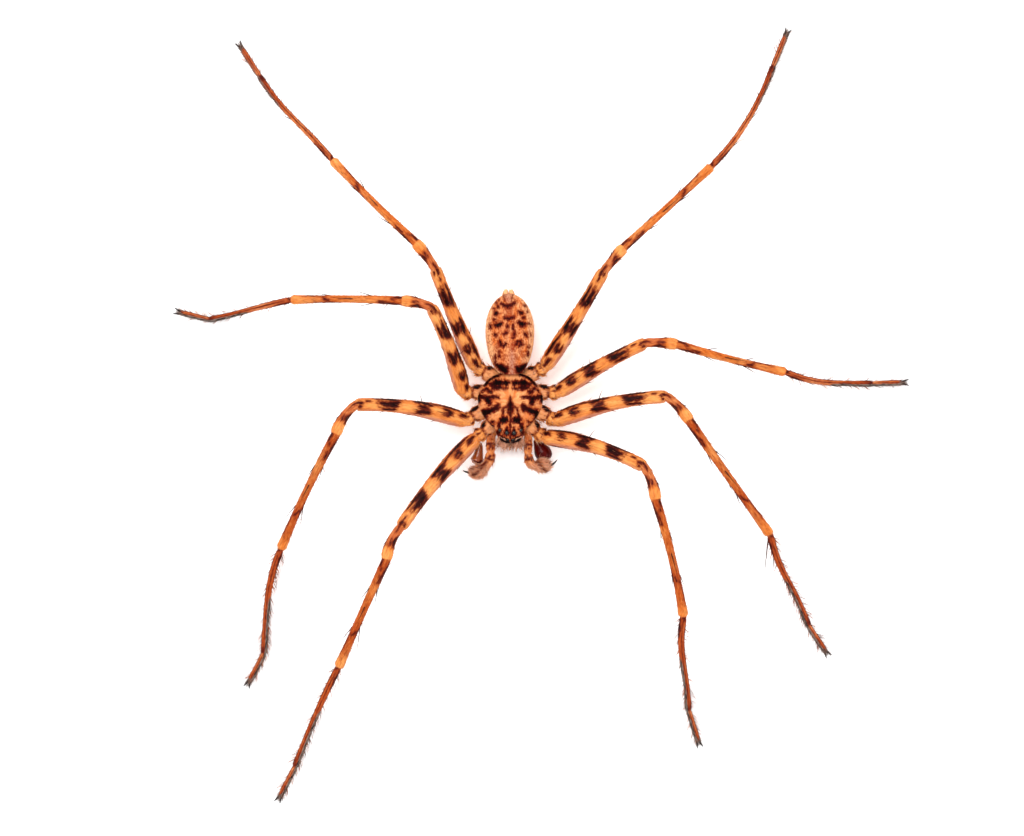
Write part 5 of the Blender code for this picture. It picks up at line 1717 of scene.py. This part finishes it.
def beyond_coxa(leg, number, part, degrees):
    """All over, but thinner on top."""
    return (number > COXA) * (0.45 + 0.55 * (np.abs(degrees) > 60.0))


def foot_sides(leg, number, part, degrees):
    """Both sides of the foot, with a few on the tibia."""
    sides = np.abs(np.abs(degrees) - 90.0) < 40.0
    return sides * ((number > TIBIA) + 0.1 * (number == TIBIA))


def foot_comb(leg, number, part, degrees):
    """A row along the front of the foot, from where its brush starts."""
    start = BRUSH_START[int(leg[1])]
    along = (number == METATARSUS) * step(part, start - 0.05, start + 0.1) + 0.6 * (number == TARSUS)
    return (np.abs(degrees + 100.0) < 28.0) * along


def hip_tufts(leg, number, part, degrees):
    """The outer part of the coxa and trochanter, and the root of the thigh."""
    return (number < FEMUR) * (part > 0.35) + (number == FEMUR) * (part < 0.05) * 0.7


chance_on_top = beyond_coxa("L1", np.array([FEMUR]), np.array([0.5]), np.array([0.0]))
print("chance of a hair on top of a thigh:", chance_on_top)

# %% Coat of a leg
COAT_SEED = 100
SHORT_HAIRS, HIP_HAIRS = 5200, 180
# Long hairs at the sides of a foot of each pair. Its comb has half as many.
OUTER_HAIRS = {1: 150, 2: 190, 3: 80, 4: 40}


def plant(skin_name, count, rng, chance, **hair):
    """Hairs of one kind, planted where the chance allows them."""
    s, t = scatter(skin_name, count, rng, chance)
    return grow(skin_name, s, t, rng, **hair)


def leg_coat(leg):
    """Short hair, long hair on the foot's sides and comb, and tufts at the hip."""
    rng = np.random.default_rng(COAT_SEED + LEG_NAMES.index(leg))
    name, outer = f"leg_{leg}", OUTER_HAIRS[int(leg[1])]
    short = plant(name, SHORT_HAIRS, rng, on_leg(leg, beyond_coxa), length=0.45, lean=76.0,
                  radius=0.017)
    count = len(short["length"])
    short["pale"] = np.clip(short["pale"] + rng.normal(0.0, 0.3, count), 0.0, 1.0)
    short["brown"] = np.clip(short["brown"] + rng.normal(0.0, 0.25, count), 0.0, 1.0)
    some_dark(short, rng, 0.04, -0.1)
    sides = plant(name, outer, rng, on_leg(leg, foot_sides), length=1.4, lean=46.0, radius=0.03,
                  spread=0.1)
    some_dark(sides, rng, 0.6, 0.0, FAR_OUTSIDE)
    comb = plant(name, outer // 2, rng, on_leg(leg, foot_comb), length=1.2, lean=62.0, radius=0.03)
    some_dark(comb, rng, 0.5, -0.02, FAR_OUTSIDE)
    sides["grey"], comb["grey"] = 0.0 * sides["grey"], 0.0 * comb["grey"]
    coat(f"coat_leg_{leg}", [short, sides, comb], leg_hair, rows=2)
    tufts = plant(name, HIP_HAIRS, rng, on_leg(leg, hip_tufts), length=0.7, lean=46.0,
                  radius=0.024, spread=0.3)
    tufts["pale"] = rng.uniform(0.0, 1.0, len(tufts["length"]))
    some_dark(tufts, rng, 0.25, 0.02)
    coat(f"coat_hip_{leg}", [tufts], body_hair, rows=2)


print("long hairs on a foot of each pair:", OUTER_HAIRS)

# %% [markdown]
# ## Brushes under the feet
# The ends of the legs carry brushes of grey hair underneath, which the spider climbs with, and a
# thick tuft round the claws. A solid pad would give the outline, but not the combed look of its
# edge, so the brushes are planted like the coat, only denser and stiffer.

# %% Brush of a leg
BRUSH_SEED = 200
BRUSH_HAIRS, TOE_HAIRS, CLAW_HAIRS = 1500, 900, 160


def foot_under(leg, number, part, degrees):
    """Below and in front, from where the brush starts to the toe."""
    start = BRUSH_START[int(leg[1])]
    low = (np.abs(degrees + 115.0) < 55.0) + (np.abs(np.abs(degrees) - 150.0) < 40.0) * 0.6
    along = (number == METATARSUS) * step(part, start - 0.08, start + 0.05) + (number == TARSUS)
    return np.clip(low, 0.0, 1.0) * along


def toe_end(leg, number, part, degrees):
    """All round the end of the tarsus."""
    return (number == TARSUS) * step(part, 0.78, 0.95)


def claw_sides(leg, number, part, degrees):
    """Both sides of the very end."""
    return (number == TARSUS) * step(part, 0.9, 0.95) * (np.abs(np.abs(degrees) - 90.0) < 45.0)


def leg_brush(leg):
    """The brush under a foot and the tuft round its claws."""
    rng = np.random.default_rng(BRUSH_SEED + LEG_NAMES.index(leg))
    name = f"leg_{leg}"
    tufts = [plant(name, BRUSH_HAIRS, rng, on_leg(leg, foot_under), length=0.24, lean=56.0,
                   radius=0.022, spread=0.2),
             plant(name, TOE_HAIRS, rng, on_leg(leg, toe_end), length=0.75, lean=70.0,
                   radius=0.034, spread=0.16),
             plant(name, CLAW_HAIRS, rng, on_leg(leg, claw_sides), length=1.15, lean=68.0,
                   radius=0.05, spread=0.08)]
    coat(f"brush_leg_{leg}", tufts, brush_hair, rows=2)


print("brushes start at:", BRUSH_START)

# %% [markdown]
# ## Spines
# The spines are movable black bristles, laid forward along the leg. Their places follow the
# pattern that huntsman spiders share. They could be single cones, each put in place by hand.
# But they are hairs of a larger size, so the hair's own functions grow them from a table.

# %% Places of the spines
# Part of the segment and degrees round it
FEMUR_SPINES = ((0.22, 8), (0.46, -6), (0.72, 5), (0.32, 72), (0.55, 78), (0.76, 70),
                (0.28, -74), (0.5, -70), (0.74, -78))
PATELLA_SPINES = ((0.5, 80), (0.55, -80))
TIBIA_SPINES = ((0.26, 75), (0.62, 80), (0.24, -78), (0.6, -75), (0.42, 4),
                (0.14, 150), (0.17, -148), (0.44, 152), (0.47, -150), (0.74, 148))
METATARSUS_SPINES = ((0.22, -78), (0.5, -76), (0.1, 150), (0.13, -148), (0.34, 150))
# Spines, length, lean and radius for each segment
SPINE_SETS = (
    ("femur", FEMUR_SPINES, 1.2, 58.0, 0.06), ("patella", PATELLA_SPINES, 1.2, 62.0, 0.06),
    ("tibia", TIBIA_SPINES, 2.7, 75.0, 0.085), ("metatarsus", METATARSUS_SPINES, 1.8, 76.0, 0.07),
)
# One very long spine on one foot, and a short one that stands up on some thighs
LONG_SPINE_LEG = "L2"
LONG_SPINE = ("metatarsus", ((0.03, -86),), 5.2, 74.0, 0.12)
ERECT_SPINE_LEGS = ("L1", "L2", "L3", "R2", "R3")
ERECT_SPINE_AT = (0.42, 90)
print("spines on a leg:", sum(len(places) for _, places, *_ in SPINE_SETS))

# %% Spines of a leg
SPINE_SEED = 300
SPINE_SINK = 0.12


def spine_places(leg, segment, places):
    """Places on the leg's skin for (part, degrees) of a segment."""
    line = LINES[leg]
    here = np.flatnonzero(line["number"] == SEGMENTS.index(segment))
    parts, degrees = np.array(places, float).T
    return np.interp(parts, line["part"][here], here), degrees / 360.0


def leg_spines(leg):
    """All the spines of a leg as one piece."""
    rng = np.random.default_rng(SPINE_SEED + LEG_NAMES.index(leg))
    sets = SPINE_SETS + ((LONG_SPINE,) if leg == LONG_SPINE_LEG else ())
    tufts = []
    for segment, places, length, lean, radius in sets:
        s, t = spine_places(leg, segment, places)
        tufts.append(grow(f"leg_{leg}", s, t, rng, length, lean, radius, spread=0.05,
                          sink=SPINE_SINK))
    if leg in ERECT_SPINE_LEGS:
        s, t = spine_places(leg, "femur", (ERECT_SPINE_AT,))
        tufts.append(grow(f"leg_{leg}", s, t, rng, 1.5, 12.0, 0.07, spread=0.02, sink=SPINE_SINK))
    coat(f"spines_leg_{leg}", tufts, spine_chitin, rows=5)


print("spines sit", SPINE_SINK, "mm deep in the skin")

# %% [markdown]
# ## Claws
# Each foot ends in two hooked claws, spread in a V. They are limbs of four points: from inside
# the toe, up over its end, and down to a fine point. A bent cone would lack the hook.

# %% Claws of a leg, and everything that grows on the legs
# Ahead of the toe, aside of it, above it, and radius
CLAW = ((-0.15, 0.1, 0.0, 0.12), (0.32, 0.22, 0.14, 0.12), (0.7, 0.34, 0.04, 0.08),
        (0.92, 0.4, -0.14, 0.03))


def leg_claws(leg):
    """Two curved claws at the end of the foot."""
    line = LINES[leg]
    toe, rear = line["middle"][-1], line["rear"][-1]
    ahead = unit(line["ahead"][-1] * (1.0, 1.0, 0.0))
    for name, sign in (("rear", 1.0), ("front", -1.0)):
        points = [(*(toe + ahead * before + rear * sign * aside + (0.0, 0.0, above)), radius)
                  for before, aside, above, radius in CLAW]
        limb(f"claw_{leg}_{name}", points, black_chitin, sides=8)


for leg in LEG_NAMES:
    leg_coat(leg)
    leg_brush(leg)
    leg_spines(leg)
    leg_claws(leg)
print("hair and claws are on", len(LEG_NAMES), "legs")

# %% [markdown]
# ## Coat of the body
# Fine hair covers the shield and lies to the rear on the abdomen, where it is denser. The coat
# could be left out at this size, but without it the shield looks like plastic. The hairs are
# only 0.024 mm thick and have a single row of faces, as there are twenty thousand of them.

# %% Body coat
BODY_SEED = 7
SHIELD_HAIRS, BREASTPLATE_HAIRS = 5000, 900
ABDOMEN_HAIRS, SPINNERET_HAIRS = 15000, 160


def upper_half(s, t):
    """The upper half of a skin that starts at its left side."""
    return (t < 0.5) * 1.0


def body_coat():
    """Down on the shield and breastplate, and felt on the abdomen and spinnerets."""
    rng = np.random.default_rng(BODY_SEED)
    tufts = [plant("shield", SHIELD_HAIRS, rng, upper_half, length=0.3, lean=72.0, radius=0.012),
             plant("breastplate", BREASTPLATE_HAIRS, rng, everywhere, length=0.5, lean=40.0,
                   radius=0.014)]
    coat("coat_shield", tufts, body_hair)
    tufts = [plant("abdomen", ABDOMEN_HAIRS, rng, everywhere, length=0.24, lean=68.0,
                   radius=0.013)]
    for side in "LR":
        for number in range(len(SPINNERETS)):
            tufts.append(plant(f"spinneret_{side}_{number}", SPINNERET_HAIRS, rng, everywhere,
                               length=0.3, lean=50.0, radius=0.014))
    coat("coat_abdomen", tufts, abdomen_hair)


body_coat()

# %% [markdown]
# ## Fringe over the jaws
# At the front edge of the shield the down grows long and hangs over the jaws as a pinkish
# fringe, mixed with dark bristles. Combed curves would be the usual way. Here the direction of
# each hair gets a push forwards and down, which needs no combing and comes out the same each run.

# %% Fringe
FRINGE_SEED = 8
JAW_HAIRS, LOBE_HAIRS, BROW_HAIRS, EDGE_HAIRS = 700, 200, 90, 260
COMBED_FORWARD = np.array([0.0, -0.8, 0.1])
HANGING = np.array([0.0, -0.9, -0.35])


def front_edge(s, t):
    """The low front edge of the shield."""
    y, z = read("shield", "points", s, t)[:, 1:].T
    return (y < -3.9) * (z < 5.0) * (z > 4.0) * 1.0


def jaw_hair(side, rng):
    """Pinkish hair on a jaw, a third of it long and combed forwards, none at its back."""
    name = f"jaw_{side}"
    s, t = scatter(name, JAW_HAIRS, rng, everywhere)
    tuft = grow(name, s, t, rng, length=0.5, lean=40.0, radius=0.022, spread=0.4)
    longer = rng.uniform(0.0, 1.0, len(s)) < 0.35
    tuft["length"] = np.where(longer, tuft["length"] * 2.4, tuft["length"])
    tuft["way"] = np.where(longer[:, None], unit(tuft["way"] + COMBED_FORWARD), tuft["way"])
    some_dark(tuft, rng, 0.14, 0.02, FAR_OUTSIDE)
    tuft["dusk"] = rng.uniform(0.5, 1.0, len(s))
    tuft["pale"] = rng.uniform(0.0, 1.0, len(s))
    keep = read(name, "normal", s, t)[:, 1] < 0.3
    return {key: value[keep] for key, value in tuft.items()}


def fringe():
    """Hair of the jaws, mouth lobes and brows, and the shield's hanging edge."""
    rng = np.random.default_rng(FRINGE_SEED)
    tufts = []
    for side in "LR":
        tufts.append(jaw_hair(side, rng))
        tufts.append(plant(f"mouth_lobe_{side}", LOBE_HAIRS, rng, everywhere, length=0.4,
                           lean=40.0, radius=0.016))
    for side in "LR":
        tufts.append(plant(f"brow_{side}", BROW_HAIRS, rng, everywhere, length=0.3, lean=30.0,
                           radius=0.024, spread=0.3))
    edge = plant("shield", EDGE_HAIRS, rng, front_edge, length=0.85, lean=20.0, radius=0.02,
                 forward=-1.0, spread=0.3)
    edge["way"] = unit(edge["way"] + HANGING)
    edge["dusk"] = rng.uniform(0.5, 1.0, len(edge["length"]))
    coat("fringe_jaws", [*tufts, edge], body_hair, rows=2)
    return sum(len(tuft["length"]) for tuft in tufts)


print("hairs over the jaws:", fringe())

# %% [markdown]
# ## Hair of the feelers
# The spoon of a male's feeler is the hairiest part of the whole spider: its hair fans out like a
# bottle brush. It needs three layers: down all over, denser hair on the spoon, and a few
# long bristles, a third of them dark.

# %% Feeler hair
FEELER_SEED = 9
DOWN_HAIRS, SPOON_HAIRS, BRISTLES = 900, 1300, 150


def towards_tip(skin_name, low, high):
    """A chance that rises from 0 to 1 between two parts of a skin's length."""
    rings = SKINS[skin_name]["points"].shape[0]
    return lambda s, t: step(s / rings, low, high)


def feeler_coat(side):
    """Down, the spoon's dense hair, and long bristles."""
    rng = np.random.default_rng(FEELER_SEED + "LR".index(side))
    name = f"feeler_{side}"
    down = plant(name, DOWN_HAIRS, rng, everywhere, length=0.4, lean=60.0, radius=0.016)
    spoon = plant(name, SPOON_HAIRS, rng, towards_tip(name, 0.55, 0.8), length=0.48, lean=60.0,
                  radius=0.018, spread=0.16)
    bristles = plant(name, BRISTLES, rng, towards_tip(name, 0.45, 0.8), length=0.8, lean=46.0,
                     radius=0.026, spread=0.2)
    some_dark(bristles, rng, 0.3, 0.02)
    coat(f"coat_feeler_{side}", [down, spoon, bristles], body_hair, rows=2)


for side in "LR":
    feeler_coat(side)
print("feeler hair is on")
